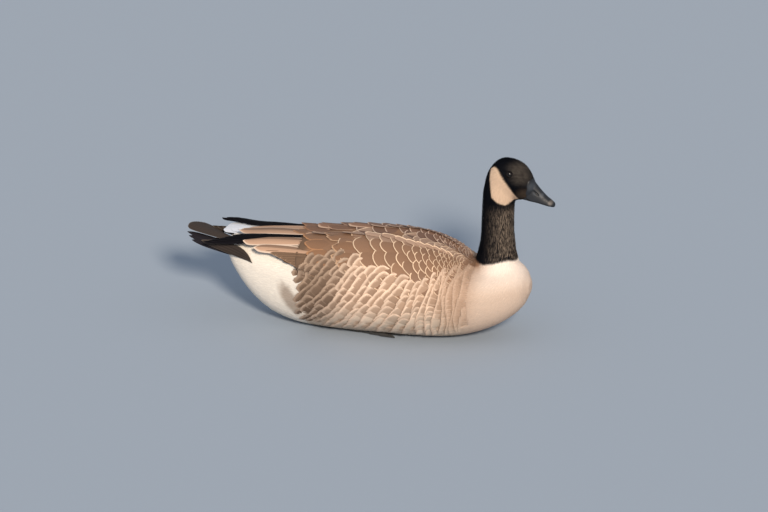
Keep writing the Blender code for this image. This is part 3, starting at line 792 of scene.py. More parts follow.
def jittered(colours, spread):
    """Each feather's colour a little lighter or darker than its neighbour's."""
    factor = np.exp(spread * RANDOM.standard_normal(len(colours)))
    return np.clip(colours * factor[:, None], 0, 1)


# Scapulars lie on rays and rings that spread from a pole at the side of the neck's base.
POLE_X, POLE_ANGLE = 0.200, math.radians(36.0)
RING_GROWTH = 0.064
RAY_STEP = math.radians(18.0)
BACK_RADIUS = 0.085


def scapular_places(side):
    """Staggered rings of feather tips from the neck's base to the rear of the back."""
    xs, angles, pitches, turns = [], [], [], []
    radius, ring = 0.034, 0
    while radius < 0.30:
        for ray in range(-7, 8):
            turn = (ray + 0.5 * (ring % 2)) * RAY_STEP
            x = POLE_X - radius * math.cos(turn)
            angle = POLE_ANGLE + radius * math.sin(turn) / BACK_RADIUS
            edge = math.radians(float(smooth_between(x, FLANK_EDGE_X, FLANK_EDGE_ANGLE)))
            if x < -0.056 or angle > edge + 0.30 or angle < 0.04 or x > 0.164:
                continue
            xs.append(x)
            angles.append(angle)
            pitches.append(RING_GROWTH * radius)
            turns.append(turn)
        radius *= 1 + RING_GROWTH
        ring += 1
    xs, angles, pitches, turns = (np.array(values) for values in (xs, angles, pitches, turns))
    xs = xs + 0.14 * pitches * RANDOM.standard_normal(len(xs))
    angles = angles + 0.16 * pitches / BACK_RADIUS * RANDOM.standard_normal(len(xs))
    return xs, side * angles, pitches, turns


# Far side feathers are multiplied by this, darker and bluer: painted shade for the side turned from the sun.
FAR_SIDE_SHADE = np.array((0.80, 0.80, 0.88))


def make_scapulars(surface, side):
    xs, angles, pitches, turns = scapular_places(side)
    tips = surface.from_spine(xs, angles)
    lengths = varied(4.9 * pitches, 0.04)
    halves = varied(2.81 * pitches, 0.05)
    fall = 0.55 * turns + 0.07 * RANDOM.standard_normal(len(xs))
    outward, downward = side * np.sin(fall) * np.cos(angles), -np.sin(fall) * np.sin(np.abs(angles))
    ways = np.stack((-np.cos(fall), outward, downward), -1)
    _, normals = surface.nearest(tips)
    ways = laid_flat(ways, normals)
    roots = tips - ways * lengths[:, None]
    sink = 0.0012 + 0.060 * lengths
    top, up = laid(surface, roots, ways, lengths, halves, CONTOUR, sink, 0.0002, 0.04 * halves, 0.04 * halves)
    base = mixed(SCAPULAR * np.ones((len(xs), 1)), SCAPULAR_DARK, 0.5 * RANDOM.random(len(xs)))
    # Near the ridge the near side's upper back is painted paler, a painted highlight, and the far side's
    # darker, painted shade.
    upper = smooth_step(36, 14, np.degrees(np.abs(angles)))
    if side > 0:
        base = mixed(base, SCAPULAR_DARK, 0.3 * upper)
    else:
        base = mixed(base, SCAPULAR_SHEEN, 0.6 * upper)
    tint = along_tint(base, SCAPULAR_DARK, CONTOUR, 0.35)
    rim = jittered(CREAM_RIM * np.ones((len(xs), 1)), 0.08)
    rim_width = np.clip(0.12 * pitches + 0.0005, 0.0007, 0.0017)
    # The far side is then painted darker and bluer as a whole: painted shade.
    if side > 0:
        tint, rim = tint * FAR_SIDE_SHADE, rim * FAR_SIDE_SHADE
    return Batch(CONTOUR, top, up, 0.012 * halves, tint, rim, rim_width, lengths, halves, unwrapped(roots))


# The row along each shoulder whose upper edges make a pale ridge: tip x, length, half width.
RIDGE = (
    (-0.098, 0.060, 0.0072), (-0.045, 0.062, 0.0075), (-0.006, 0.050, 0.0074), (0.024, 0.044, 0.0070),
    (0.048, 0.036, 0.0062), (0.068, 0.030, 0.0054), (0.086, 0.025, 0.0047), (0.101, 0.021, 0.0041),
    (0.115, 0.018, 0.0036), (0.127, 0.015, 0.0031), (0.137, 0.013, 0.0027),
)
# The ridge's inner edge: how far from the middle it runs at each x.
RIDGE_X = (-0.10, 0.02, 0.04, 0.06, 0.08, 0.10, 0.14)
RIDGE_Y = (0.014, 0.016, 0.021, 0.028, 0.033, 0.035, 0.034)
RIDGE_OVER_SPINE = 0.076


def make_ridge(surface, side):
    tip_x, lengths, halves = (np.array(column) for column in zip(*RIDGE))
    inner = smooth_between(tip_x, RIDGE_X, RIDGE_Y)
    behind = smooth_between(tip_x - 0.5 * lengths, RIDGE_X, RIDGE_Y)
    ahead = smooth_between(tip_x + 0.8 * lengths, RIDGE_X, RIDGE_Y)
    tips = surface.from_spine(tip_x, side * np.arctan2(inner + 0.85 * halves, RIDGE_OVER_SPINE))
    ways = unit(np.stack((-1.3 * lengths, side * (behind - ahead), 0 * lengths), -1))
    _, normals = surface.nearest(tips)
    ways = laid_flat(ways, normals)
    roots = tips - ways * lengths[:, None]
    sink = 0.0020 + 0.05 * lengths
    top, up = laid(surface, roots, ways, lengths, halves, CONTOUR, sink, 0.0027, -0.0010, 0.05 * halves)
    # Only the near ridge is painted paler: a painted highlight.
    paler = (0.60 + 0.3 * RANDOM.random(len(tips))) * (side < 0)
    base = mixed(SCAPULAR * np.ones((len(tips), 1)), SCAPULAR_SHEEN, paler)
    tint = along_tint(base, SCAPULAR_DARK, CONTOUR, 0.2)
    upper_edge = smooth_step(-0.35, 0.30, CONTOUR.columns * side)[None, ..., None]
    # The pale upper edge is painted at under half strength on the far side: painted shade.
    rim = tint + (np.clip(CREAM_RIM * 1.25, 0, 0.95) - tint) * upper_edge * (1.0 if side < 0 else 0.45)
    # Far side darker and bluer: painted shade.
    if side > 0:
        tint, rim = tint * FAR_SIDE_SHADE, rim * FAR_SIDE_SHADE
    return Batch(
        CONTOUR, top, up, 0.02 * halves, tint, rim, np.clip(0.40 * halves, 0.0016, 0.0030), lengths, halves,
        unwrapped(roots),
    )


def along_tint(base, root_colour, shape, amount):
    """Colours that grow from a root colour to the feather's own along each feather."""
    share = (1 - shape.along) * amount
    return base[:, None, None, :] + (root_colour - base)[:, None, None, :] * share[None, ..., None]


def flank_places(side):
    """Feather tips in slanting bars that rise forwards over the wing's lower edge."""
    xs, angles, pitches = [], [], []
    radius = 0.095
    x = 0.245
    while x > -0.150:
        front = float(smooth_step(0.05, 0.16, x))
        pitch = 0.0150 - 0.0070 * front
        tall = (0.0120 - 0.0045 * front) / radius
        slant = 0.85 - 0.75 * front
        angle = math.radians(25.0) + tall * RANDOM.random()
        sway, swing = RANDOM.uniform(0, 2 * math.pi), RANDOM.uniform(4.0, 8.0)
        while angle < math.radians(138.0):
            tip = x - slant * radius * (angle - math.radians(75.0)) + 0.0028 * math.sin(swing * angle + sway)
            edge = math.radians(float(smooth_between(tip, FLANK_EDGE_X, FLANK_EDGE_ANGLE)))
            if -0.112 < tip < 0.178 and angle > edge:
                xs.append(tip)
                angles.append(angle)
                pitches.append(pitch)
            angle += tall
        x -= pitch
    xs, angles, pitches = np.array(xs), np.array(angles), np.array(pitches)
    xs = xs + 0.04 * pitches * RANDOM.standard_normal(len(xs))
    return xs, side * angles, pitches


def fringe(batch_top, up, rims, per_feather, length, half, spread):
    """Fine barbs that stick out past the tips of soft feathers."""
    count, rows, columns = batch_top.shape[:3]
    shares = RANDOM.uniform(-1, 1, (count, per_feather)) * (columns - 1) / 2 + (columns - 1) / 2
    first = np.clip(shares.astype(int), 0, columns - 2)
    t = (shares - first)[..., None]
    each = np.arange(count)[:, None]
    row = rows - 1 - (RANDOM.random((count, per_feather)) < 0.15)
    place = batch_top[each, row, first] * (1 - t) + batch_top[each, row, first + 1] * t
    before = batch_top[each, row - 1, first] * (1 - t) + batch_top[each, row - 1, first + 1] * t
    normal = up[each, row, first]
    way = unit(place - before)
    side = np.cross(normal, way)
    lean = (shares / (columns - 1) * 2 - 1)[..., None] * 0.18
    lean = lean + spread * RANDOM.standard_normal((count, per_feather, 1))
    way = unit(way + side * lean)
    side = np.cross(normal, way)
    place, way, side, normal = (values.reshape(-1, 3) for values in (place, way, side, normal))
    total = len(place)
    lengths, halves = varied(np.full(total, length), 0.25), varied(np.full(total, half), 0.15)
    column = (slice(None), None, None)
    along = (BARB.along[None] - 0.50) * lengths[column] - BARB.lag[None] * halves[column]
    across = BARB.across[None] * halves[column]
    curl = RANDOM.uniform(-0.8, 0.1, total)[column] * 0.10 * lengths[column]
    height = 0.0001 + curl * BARB.along[None] ** 2 - 0.3 * halves[column] * BARB.columns[None] ** 2
    top = place[:, None, None] + along[..., None] * way[:, None, None]
    top = top + across[..., None] * side[:, None, None]
    top = top + height[..., None] * normal[:, None, None]
    tint = jittered(np.repeat(rims, per_feather, 0), 0.08)
    return Batch(
        BARB, top, np.broadcast_to(normal[:, None, None], top.shape), 0.25 * halves, tint, tint,
        halves, lengths, halves, unwrapped(place),
    )


def make_flanks(surface, side):
    xs, angles, pitches = flank_places(side)
    tips = surface.from_spine(xs, angles)
    front = smooth_step(0.05, 0.16, xs)
    lengths = varied((2.9 - 0.3 * front) * pitches, 0.06)
    halves = varied(0.0155 - 0.0078 * front, 0.10)
    rise = np.radians(40.0 - 32.0 * front) + 0.06 * RANDOM.standard_normal(len(xs))
    ways = np.stack((-np.cos(rise), 0 * rise, np.sin(rise)), -1)
    _, normals = surface.nearest(tips)
    ways = laid_flat(ways, normals)
    roots = tips - ways * lengths[:, None]
    sink = 0.0020 + 0.13 * lengths
    lift = (0.0014 + 0.0005 * RANDOM.random(len(xs))) * smooth_step(0.190, 0.100, xs)
    top, up = laid(surface, roots, ways, lengths, halves, PLUME, sink, lift, 0.0, 0.05 * halves)
    rear = rear_shade_share(xs, np.degrees(np.abs(angles)))
    base = mixed(FLANK * np.ones((len(xs), 1)), BREAST, 0.4 * smooth_step(0.13, 0.18, xs))
    low = smooth_step(95, 125, np.degrees(np.abs(angles)))
    base = mixed(base, BELLY, low)
    # Behind and above, flank feathers and rims are painted a darker brown: painted shade.
    base = jittered(mixed(base, FLANK_REAR_SHADE, rear), 0.09)
    # Each feather darkens strongly towards its root: partly its own darker base, partly painted shade in the
    # troughs between the bars.
    tint = along_tint(base, base * 0.55, PLUME, 0.8)
    rim = mixed(FLANK_RIM * np.ones((len(xs), 1)), FLANK_REAR_RIM_SHADE, rear)
    into_breast = smooth_step(0.110, 0.172, xs)
    rim = jittered(mixed(rim, BREAST_LOW_SHADE, 0.5 * low), 0.07 * (1 - 0.6 * into_breast))
    plain = markings(tips)
    tint = tint + (plain[:, None, None] - tint) * (0.8 * into_breast)[:, None, None, None]
    rim = rim + (plain - rim) * (0.8 * into_breast)[:, None]
    rim_width = np.clip(0.24 * pitches, 0.0016, 0.0034)
    soft_rim = mixed(rim, base, 0.25 * np.ones(len(rim)))
    return [
        Batch(PLUME, top, up, 0.02 * halves, tint, rim, rim_width, lengths, halves, unwrapped(roots)),
        fringe(top, up, soft_rim, 36, 0.0027, 0.00019, 0.08),
    ]


def body_feather_zone(points):
    """Breast, belly, vent, rump and the neck's base, where small feathers lie close."""
    x, z = points[:, 0], points[:, 2]
    angle = back_angle(points)
    edge = smooth_between(x, FLANK_EDGE_X, FLANK_EDGE_ANGLE)
    covered = (x > -0.110) & (x < 0.150) & (angle < np.maximum(edge + 4, 124.0))
    return (neck_blackness(points) < 0.5) & ~covered & (z > 0.0008)


def make_body_tufts(surface):
    """Fine tufts, hardly proud of the skin, over the satin parts: the fore part and the hind part."""
    def spacing(places):
        return 0.0036 - 0.0010 * smooth_step(0.14, 0.19, places[:, 0])

    roots = surface.scattered(spacing, body_feather_zone, 60000)
    ways = -bill_ways(roots)
    _, normals = surface.nearest(roots)
    ways = laid_flat(ways, normals)
    ways = ways + 0.07 * RANDOM.standard_normal(ways.shape)
    size = spacing(roots)
    lengths = varied(3.4 * size, 0.12)
    halves = varied(0.22 * size, 0.12)
    top, up = laid(surface, roots, ways, lengths, halves, TUFT, 0.0010, 0.0002, 0.0, 0.25 * halves)
    base = markings(top.reshape(-1, 3)).reshape(top.shape)
    base = np.clip(base * np.exp(0.03 * RANDOM.standard_normal(len(roots)))[:, None, None, None], 0, 0.95)
    batches = []
    for some in (roots[:, 0] >= 0.0, roots[:, 0] < 0.0):
        batches.append(
            Batch(
                TUFT, top[some], up[some], 0.2 * halves[some], base[some], base[some], 0.4 * halves[some],
                lengths[some], halves[some], unwrapped(roots[some]),
            )
        )
    return batches


def make_small_plumage(surface, spacing_at, where, tries):
    """Tufts over the neck and head, lying back along it."""
    roots = surface.scattered(spacing_at, where, tries)
    count = len(roots)
    _, normals = surface.nearest(roots)
    ways = -bill_ways(roots)
    ways = laid_flat(ways, normals)
    ways = ways + 0.10 * RANDOM.standard_normal((count, 3))
    size = spacing_at(roots)
    white = markings(roots).mean(1) > 0.2
    lengths = varied(np.where(white, 4.2, 6.0) * size, 0.12)
    halves = varied(np.where(white, 0.28, 0.36) * size, 0.10)
    sink = np.where(white, 0.0005, np.minimum(coat_depth(roots) * 0.9, 0.22 * lengths))
    lift = np.where(white, 0.00010, 0.00015 + 0.00015 * RANDOM.random(count))
    top, up = laid(surface, roots, ways, lengths, halves, BARB, sink, lift, 0.0, 0.12 * halves)
    base = markings(top.reshape(-1, 3)).reshape(top.shape)
    black = base.mean(-1).max((1, 2)) < 0.12
    # Black tufts towards the neck's front, below the head, are painted brownish: a painted sheen on the lit
    # front of the neck.
    sheen_tuft = black & (RANDOM.random(count) < 0.90) & (roots[:, 2] < 0.25)
    shade = np.exp(np.where(black, 0.22, 0.05) * RANDOM.standard_normal(count))
    base = np.clip(base * shade[:, None, None, None], 0, 1)
    forward = smooth_step(0.196, 0.238, roots[:, 0])
    sheen_share = sheen_tuft * forward * RANDOM.uniform(0.10, 1.0, count) ** 1.8
    sheen_share = sheen_share * smooth_step(0.248, 0.222, roots[:, 2])
    base = mixed(base, NECK_SHEEN, sheen_share[:, None, None] * np.ones(base.shape[:3]))
    rim = np.clip(base * 1.15, 0, 1)
    return Batch(BARB, top, up, 0.15 * halves, base, rim, 0.4 * halves, lengths, halves, unwrapped(roots))


def head_zone(points):
    """The feathered head down to where the bill begins, clear of the eyes."""
    ahead, up = head_axis(points)
    in_bill = ahead > bill_edge(up)
    eye = np.hypot(points[:, 0] - EYE_PLACE[0], points[:, 2] - EYE_PLACE[2])
    on_eye = (eye < EYE_CLEAR) & (np.abs(points[:, 1]) > 0.012)
    return (points[:, 2] > NECK_TOP) & ~in_bill & ~on_eye


def neck_zone(points):
    return (neck_blackness(points) > 0.5) & (points[:, 2] <= NECK_TOP + 0.004)


NECK_TOP = 0.236
HEAD_CENTRE = np.array((0.2352, 0.0, 0.2815))
EYE_PLACE = np.array((0.2440, 0.0192, 0.2965))
EYE_RADIUS = 0.0062
EYE_CLEAR = 0.0057


def head_axis(points):
    """Distances ahead and up along the head's own axis."""
    offset = points - HEAD_CENTRE
    ahead = offset[..., 0] * math.cos(FACE_TILT) - offset[..., 2] * math.sin(FACE_TILT)
    up = offset[..., 0] * math.sin(FACE_TILT) + offset[..., 2] * math.cos(FACE_TILT)
    return ahead, up


BILL_EDGE_UP = (-0.020, -0.0067, -0.0017, 0.0057, 0.0102, 0.0171, 0.0219, 0.0245)
BILL_EDGE_AHEAD = (0.0400, 0.0450, 0.0412, 0.0397, 0.0366, 0.0350, 0.0390, 0.0430)


def bill_edge(up):
    """How far ahead the feathers reach at each height on the face."""
    return smooth_between(up, BILL_EDGE_UP, BILL_EDGE_AHEAD)


def head_point(ahead, side, up):
    forward = np.array((math.cos(FACE_TILT), 0, -math.sin(FACE_TILT)))
    upward = np.array((math.sin(FACE_TILT), 0, math.cos(FACE_TILT)))
    return (
        HEAD_CENTRE
        + np.asarray(ahead)[..., None] * forward
        + np.asarray(up)[..., None] * upward
        + np.asarray(side)[..., None] * np.array((0, 1.0, 0))
    )


# Wing

WING_X = (-0.274, -0.258, -0.240, -0.224, -0.205, -0.170, -0.130, -0.080, -0.020, 0.040)
WING_HIGH = (0.1485, 0.151, 0.152, 0.152, 0.153, 0.157, 0.159, 0.161, 0.167, 0.168)
WING_HALF = (0.0715, 0.0745, 0.0770, 0.0785, 0.0800, 0.0840, 0.0890, 0.0960, 0.1040, 0.1060)
WING_WIDEST = (0.138, 0.136, 0.132, 0.128, 0.122, 0.112, 0.104, 0.096, 0.091, 0.090)
WING_OUTSIDE = (0.0006, 0.0012, 0.0016, 0.0022, 0.0030, 0.0045, 0.0055, 0.0065, 0.0070, 0.0070)
WING_UPPER = (36.0, 44.0, 55.0, 70.0, 82.0, 86.0, 87.0, 86.0, 87.0, 87.0)
WING_LOWER = (29.0, 30.0, 36.0, 40.0, 36.0, 30.0, 24.0, 16.0, 18.0, 17.0)
# Long feathers: x and degrees above level at root, middle and tip, half width, lift, colour.
LONG_FEATHERS = (
    ("primary", (-0.095, 66), (-0.205, 55), (-0.277, 31), 0.0074, 0.0000),
    ("primary", (-0.095, 68), (-0.200, 58), (-0.268, 36), 0.0078, 0.0006),
    ("primary", (-0.095, 70), (-0.195, 61), (-0.256, 43), 0.0082, 0.0010),
    ("primary", (-0.095, 71), (-0.190, 64), (-0.244, 52), 0.0086, 0.0012),
    ("primary", (-0.095, 74), (-0.185, 68), (-0.232, 60), 0.0090, 0.0012),
    ("filler", (-0.060, 72), (-0.110, 68), (-0.160, 65), 0.0120, -0.0040),
    ("filler", (-0.060, 56), (-0.110, 53), (-0.155, 52), 0.0120, -0.0046),
    ("filler", (-0.060, 40), (-0.100, 37), (-0.140, 37), 0.0130, -0.0052),
    ("filler", (-0.060, 48), (-0.095, 46), (-0.130, 45), 0.0120, -0.0048),
    ("filler", (-0.055, 30), (-0.085, 28), (-0.116, 28), 0.0120, -0.0056),
    ("filler", (-0.050, 20), (-0.080, 20), (-0.106, 20), 0.0110, -0.0058),
    ("tertial", (-0.075, 84), (-0.165, 84), (-0.228, 82), 0.0175, 0.0024),
    ("tertial", (-0.075, 63), (-0.160, 59), (-0.2115, 52), 0.0132, 0.0012),
    ("tertial", (-0.075, 47), (-0.140, 45), (-0.190, 41), 0.0098, 0.0004),
)
# The far wing's primaries stand a little higher and its tertials lie under the near ones.
NEAR_LIFT = {"primary": 0.0034, "tertial": 0.0}
FAR_LIFT = {"primary": 0.0034, "tertial": -0.0050}
FAR_FLARE = 0.35
TWO_TONE_STEP = 2.6


def wing_point(x, angle, lift, side):
    """A place on the folded wing's outside, at degrees above level, and the normal there."""
    high = smooth_between(x, WING_X, WING_HIGH)
    half = smooth_between(x, WING_X, WING_HALF)
    widest = smooth_between(x, WING_X, WING_WIDEST)
    upper = smooth_between(x, WING_X, WING_UPPER)
    lower = smooth_between(x, WING_X, WING_LOWER)
    share = np.clip((upper - angle) / (upper - lower), 0.02, 0.98)
    lift = lift + smooth_between(x, WING_X, WING_OUTSIDE) * np.sin(math.pi * share) ** 0.6
    c, s = np.cos(np.radians(angle)), np.sin(np.radians(angle))
    up = unit(np.stack((0 * c, c * (high - widest), s * half), -1))
    place = np.stack((x, half * c, widest + (high - widest) * s), -1) + up * np.asarray(lift)[..., None]
    flip = np.array((1.0, side, 1.0))
    return place * flip, up * flip


def wing_reach(x, angle):
    """Metres round the wing for a radian of angle."""
    high = smooth_between(x, WING_X, WING_HIGH)
    half = smooth_between(x, WING_X, WING_HALF)
    widest = smooth_between(x, WING_X, WING_WIDEST)
    turn = np.radians(angle)
    return np.hypot(half * np.sin(turn), (high - widest) * np.cos(turn))


def wing_batch(
    shape, rows, side, tint, root_tint, rim, rim_width,
    sink=0.002, arch=0.0010, thick=0.0005, lift=0.0, flare=0.0, two_tone=0.0,
):
    """Feathers laid along the folded wing: (x, degrees) at root, middle and tip, width, lift.

    Two_tone is how much darker their upper half is, and how much paler their lower.
    """
    count = len(rows)
    x = np.array([[place[0] for place in row[:3]] for row in rows])
    angle = np.array([[place[1] for place in row[:3]] for row in rows])
    halves = np.array([row[3] for row in rows])
    lifts = np.array([row[4] for row in rows])
    lengths = np.abs(x[:, 2] - x[:, 0])
    share = shape.along[None] - shape.lag[None] * (halves / lengths)[:, None, None]

    def between(values):
        a, b, c = (values[:, k][:, None, None] for k in range(3))
        middle = (b - 0.25 * (a + c)) * 2
        return a * (1 - share) ** 2 + 2 * middle * share * (1 - share) + c * share ** 2

    places_x, places_angle = between(x), between(angle)
    across = shape.across[None] * halves[:, None, None]
    places_angle = places_angle + np.degrees(across / wing_reach(places_x, places_angle))
    shaft = 0.0005 * np.exp(-((shape.columns[None] / 0.12) ** 2))
    height = lifts[:, None, None] - sink * (1 - share) - arch * shape.columns[None] ** 2 + shaft
    height = height + (lift - flare * across) * share
    top, up = wing_point(places_x, places_angle, height, side)
    if side > 0:
        top, up = top[:, :, ::-1], up[:, :, ::-1]
    tint, rim = (np.asarray(colour) * np.ones((count, 3)) for colour in (tint, rim))
    tints = along_tint(tint, root_tint, shape, 0.3)
    shaded = 1 + two_tone * np.tanh(TWO_TONE_STEP * shape.columns[None] * side)
    tints = tints * shaded[..., None]
    chart = np.stack((x[:, 2], np.radians(angle[:, 2]) * UNWRAP_RADIUS * side), -1)
    return Batch(
        shape, top, up, np.full(count, thick), tints, rim,
        np.full(count, rim_width), lengths, halves, chart,
    )


# Columns of covert tips over the wing's rear: x, first and last degrees above level, length.
COVERTS = ((-0.054, 80.0, 26.0, 0.060), (-0.096, 84.0, 28.0, 0.070))
COVERT_TALL = 0.022
# How far the columns of tips lean back towards the spine, for each degree above the middle.
COVERT_LEAN = (0.0008, 0.0010)
COVERT_MIDDLE = 48.0


def make_coverts(side):
    """Two columns of orange brown coverts; the forward one has a frayed fringe."""
    rows, tints, columns = [], [], []
    for column, (tip_x, first, last, length) in enumerate(COVERTS):
        angle = first
        while angle > last:
            tall = COVERT_TALL * (0.65 + 0.35 * float(smooth_step(35, 60, np.array(angle))))
            reach = float(wing_reach(np.array(tip_x), np.array(angle)))
            x = tip_x - COVERT_LEAN[column] * (angle - COVERT_MIDDLE)
            x = x + (0.0025 + 0.0030 * column) * RANDOM.standard_normal()
            here = angle + 1.5 * RANDOM.standard_normal()
            root, middle = (x + length, here + 4), (x + length * 0.5, here + 2)
            rows.append((root, middle, (x, here), tall * 0.66, 0.0016 - 0.0008 * column))
            tints.append(mixed(SCAPULAR * 0.78, COVERT_ORANGE, (0.20, 0.35)[column] * RANDOM.random()))
            columns.append(column)
            angle -= math.degrees(tall * 0.96 / reach)
    columns = np.array(columns)
    rims = mixed(CREAM_RIM * 0.8, COVERT_ORANGE, np.array((0.5, 0.9))[columns])
    # The far side's coverts are painted darker and bluer: painted shade.
    shade = FAR_SIDE_SHADE if side > 0 else 1.0
    feathers = wing_batch(
        SMALL, rows, side, np.array(tints) * shade, SCAPULAR_DARK * shade, rims * shade,
        0.0019, 0.0045, 0.0008, 0.0004,
    )
    high, wide = SMALL.count
    top = feathers.points.reshape(len(rows), -1, 3)[:, : high * wide].reshape(-1, high, wide, 3)
    up = unit(np.cross(np.gradient(top, axis=1), np.gradient(top, axis=2)))
    up = up * np.sign((up * (top - np.array((0, 0, SPINE_Z))) * np.array((0, 1, 1))).sum(-1, keepdims=True))
    colours = mixed(rims, CREAM_RIM, 0.25 * np.ones(len(rims))) * shade
    frayed = columns == 0
    return [feathers, fringe(top[frayed], up[frayed], colours[frayed], 30, 0.0034, 0.00024, 0.20)]


def secondary_rows():
    rows = []
    for i in range(12):
        t = i / 9
        tip_x = -0.186 + 0.082 * t
        tip_angle = smooth_between(tip_x, (-0.185, -0.138, -0.100, -0.080), (43.0, 31.0, 20.0, 15.0))
        root_x = tip_x + 0.085
        root_angle = tip_angle + 8.0
        middle = (tip_x + 0.045, tip_angle + 5.5)
        rows.append(
            ((root_x, root_angle), middle, (tip_x, float(tip_angle)), 0.0072, -0.0010 - 0.0006 * t)
        )
    return rows


# Tail

TAIL_ROOT = np.array((-0.200, 0.0, 0.121))
TAIL_TILT = math.radians(14.0)
TAIL_LENGTH = 0.124
TAIL_QUILLS = 16
TAIL_HALF_ANGLE = math.radians(15.0)
TAIL_ROOT_HALF_WIDTH = 0.014
TAIL_DROOP = (0.011, 0.003)
TAIL_OUTER_QUILL = 0.86
TAIL_QUILL_SHARE = 0.25


def tail_point(share, along, lift):
    """A place on the fanned tail: share across from -1 to 1, share along, and height over it."""
    reach = TAIL_LENGTH * (1 - (1 - TAIL_OUTER_QUILL) * share * share)
    turn = share * TAIL_HALF_ANGLE
    droop = TAIL_DROOP[0] + (TAIL_DROOP[1] - TAIL_DROOP[0]) * along
    x = -reach * along * np.cos(turn)
    y = share * TAIL_ROOT_HALF_WIDTH + reach * along * np.sin(turn)
    z = -droop * share * share + lift
    c, s = math.cos(TAIL_TILT), math.sin(TAIL_TILT)
    return TAIL_ROOT + np.stack((x * c + z * s, y, -x * s + z * c), -1)


def tail_batch(shape, shares, half_shares, starts, ends, lifts, tint, root_tint, rim, rim_width, arch):
    """Feathers that lie along the tail's fan."""
    column = (slice(None), None, None)
    lengths = TAIL_LENGTH * (ends - starts)
    widths = half_shares * (TAIL_ROOT_HALF_WIDTH + TAIL_LENGTH * 0.7 * math.sin(TAIL_HALF_ANGLE))
    share = shares[column] + half_shares[column] * shape.across[None]
    along = starts[column] + (ends - starts)[column] * (
        shape.along[None] - shape.lag[None] * (widths / lengths)[column]
    )
    shaft = 0.0006 * np.exp(-((shape.columns[None] / 0.12) ** 2))
    height = lifts[column] - arch * shape.columns[None] ** 2 + shaft + 0 * along
    top = tail_point(share, along, height)
    up = np.broadcast_to(np.array((math.sin(TAIL_TILT), 0, math.cos(TAIL_TILT))), top.shape)
    top, up = top[:, :, ::-1], up[:, :, ::-1]
    count = len(shares)
    tints = along_tint(np.broadcast_to(tint, (count, 3)), root_tint, shape, 0.3)
    chart = np.stack((0.5 * (starts + ends), shares), -1)
    return Batch(
        shape, top, up, np.full(count, 0.0006), tints, np.broadcast_to(rim, (count, 3)),
        np.full(count, rim_width), lengths, widths, chart,
    )


# Ribbons that would sink into the skin are raised over it, as far as they can be.
RIBBON_CLEARANCE, RIBBON_REACH = 0.0012, 0.012


def ribbon_batch(
    shape, paths, halves, facing, tint, root_tint, rim, rim_width, arch=0.0010, thick=0.0005, over=None
):
    """Feathers along curves through three places each, their upper faces turned one way."""
    places = np.array(paths)
    count = len(places)
    halves = np.full(count, halves)
    root, through, tip = (places[:, k][:, None, None] for k in range(3))
    middle = 2 * through - 0.5 * (root + tip)
    lengths = np.linalg.norm(places[:, 2] - places[:, 0], axis=-1)
    share = (shape.along[None] - shape.lag[None] * (halves / lengths)[:, None, None])[..., None]
    line = root * (1 - share) ** 2 + 2 * middle * share * (1 - share) + tip * share ** 2
    way = unit((1 - share) * (middle - root) + share * (tip - middle))
    facing = unit(np.broadcast_to(np.array(facing, float), (count, 3)))[:, None, None]
    up = unit(facing - way * (facing * way).sum(-1, keepdims=True))
    side = np.cross(up, way)
    shaft = 0.0005 * np.exp(-((shape.columns[None] / 0.12) ** 2))
    height = (shaft - arch * shape.columns[None] ** 2)[..., None]
    top = line + side * (shape.across[None] * halves[:, None, None])[..., None] + up * height
    if over is not None:
        onto, normal = over.nearest(top)
        sunk = np.maximum(RIBBON_CLEARANCE - ((top - onto) * normal).sum(-1, keepdims=True), 0)
        top = top + normal * np.minimum(sunk, RIBBON_REACH)
    tints = along_tint(tint * np.ones((count, 3)), root_tint, shape, 0.3)
    return Batch(
        shape, top, up, np.full(count, thick), tints, rim * np.ones((count, 3)),
        np.full(count, rim_width), lengths, halves, places[:, 2, :2],
    )


# The outermost tail feathers, that show along the rump's side: root, middle and tip.
OUTER_TAIL = (
    ((-0.197, 0.053, 0.1150), (-0.222, 0.0440, 0.1310), (-0.270, 0.036, 0.1400)),
    ((-0.1955, 0.053, 0.1135), (-0.229, 0.0430, 0.1285), (-0.280, 0.037, 0.1400)),
    ((-0.194, 0.053, 0.1120), (-0.236, 0.0420, 0.1260), (-0.288, 0.038, 0.1400)),
)


def make_outer_tail(surface):
    batches = []
    for side in (1, -1):
        paths = [[(x, side * y, z) for x, y, z in path] for path in OUTER_TAIL]
        batches.append(
            ribbon_batch(
                BLADE, paths, 0.0056, (0, side * 0.97, 0.15), TAIL * 0.8, TAIL * 0.7, TAIL_RIM * 0.7, 0.0007,
                over=surface,
            )
        )
    return batches


def make_uppertail():
    """White coverts that run from under the wings over the tail's far side, painted blue-grey as painted
    shade.
    """
    paths = []
    for row, (tip_x, drop) in enumerate(((-0.266, 0.0045), (-0.253, 0.0025), (-0.240, 0.0))):
        for y in np.linspace(-0.022 + 0.004 * (row % 2), 0.040, 7):
            near = float(smooth_step(0.020, 0.006, y))
            end, low = tip_x + 0.026 * near, drop + 0.002 * near
            paths.append((
                (end + 0.070, 0.8 * y, 0.1425 - low),
                (end + 0.036, y, 0.1475 - low),
                (end + 0.12 * abs(y), 1.05 * y, 0.1470 - low - 0.03 * abs(y)),
            ))
    return ribbon_batch(
        CONTOUR, paths, 0.0135, (0.0, -0.10, 1.0), UPPERTAIL_SHADED, UPPERTAIL_SHADED, UPPERTAIL_SHADED, 0.002,
        arch=0.0004, thick=0.0003,
    )


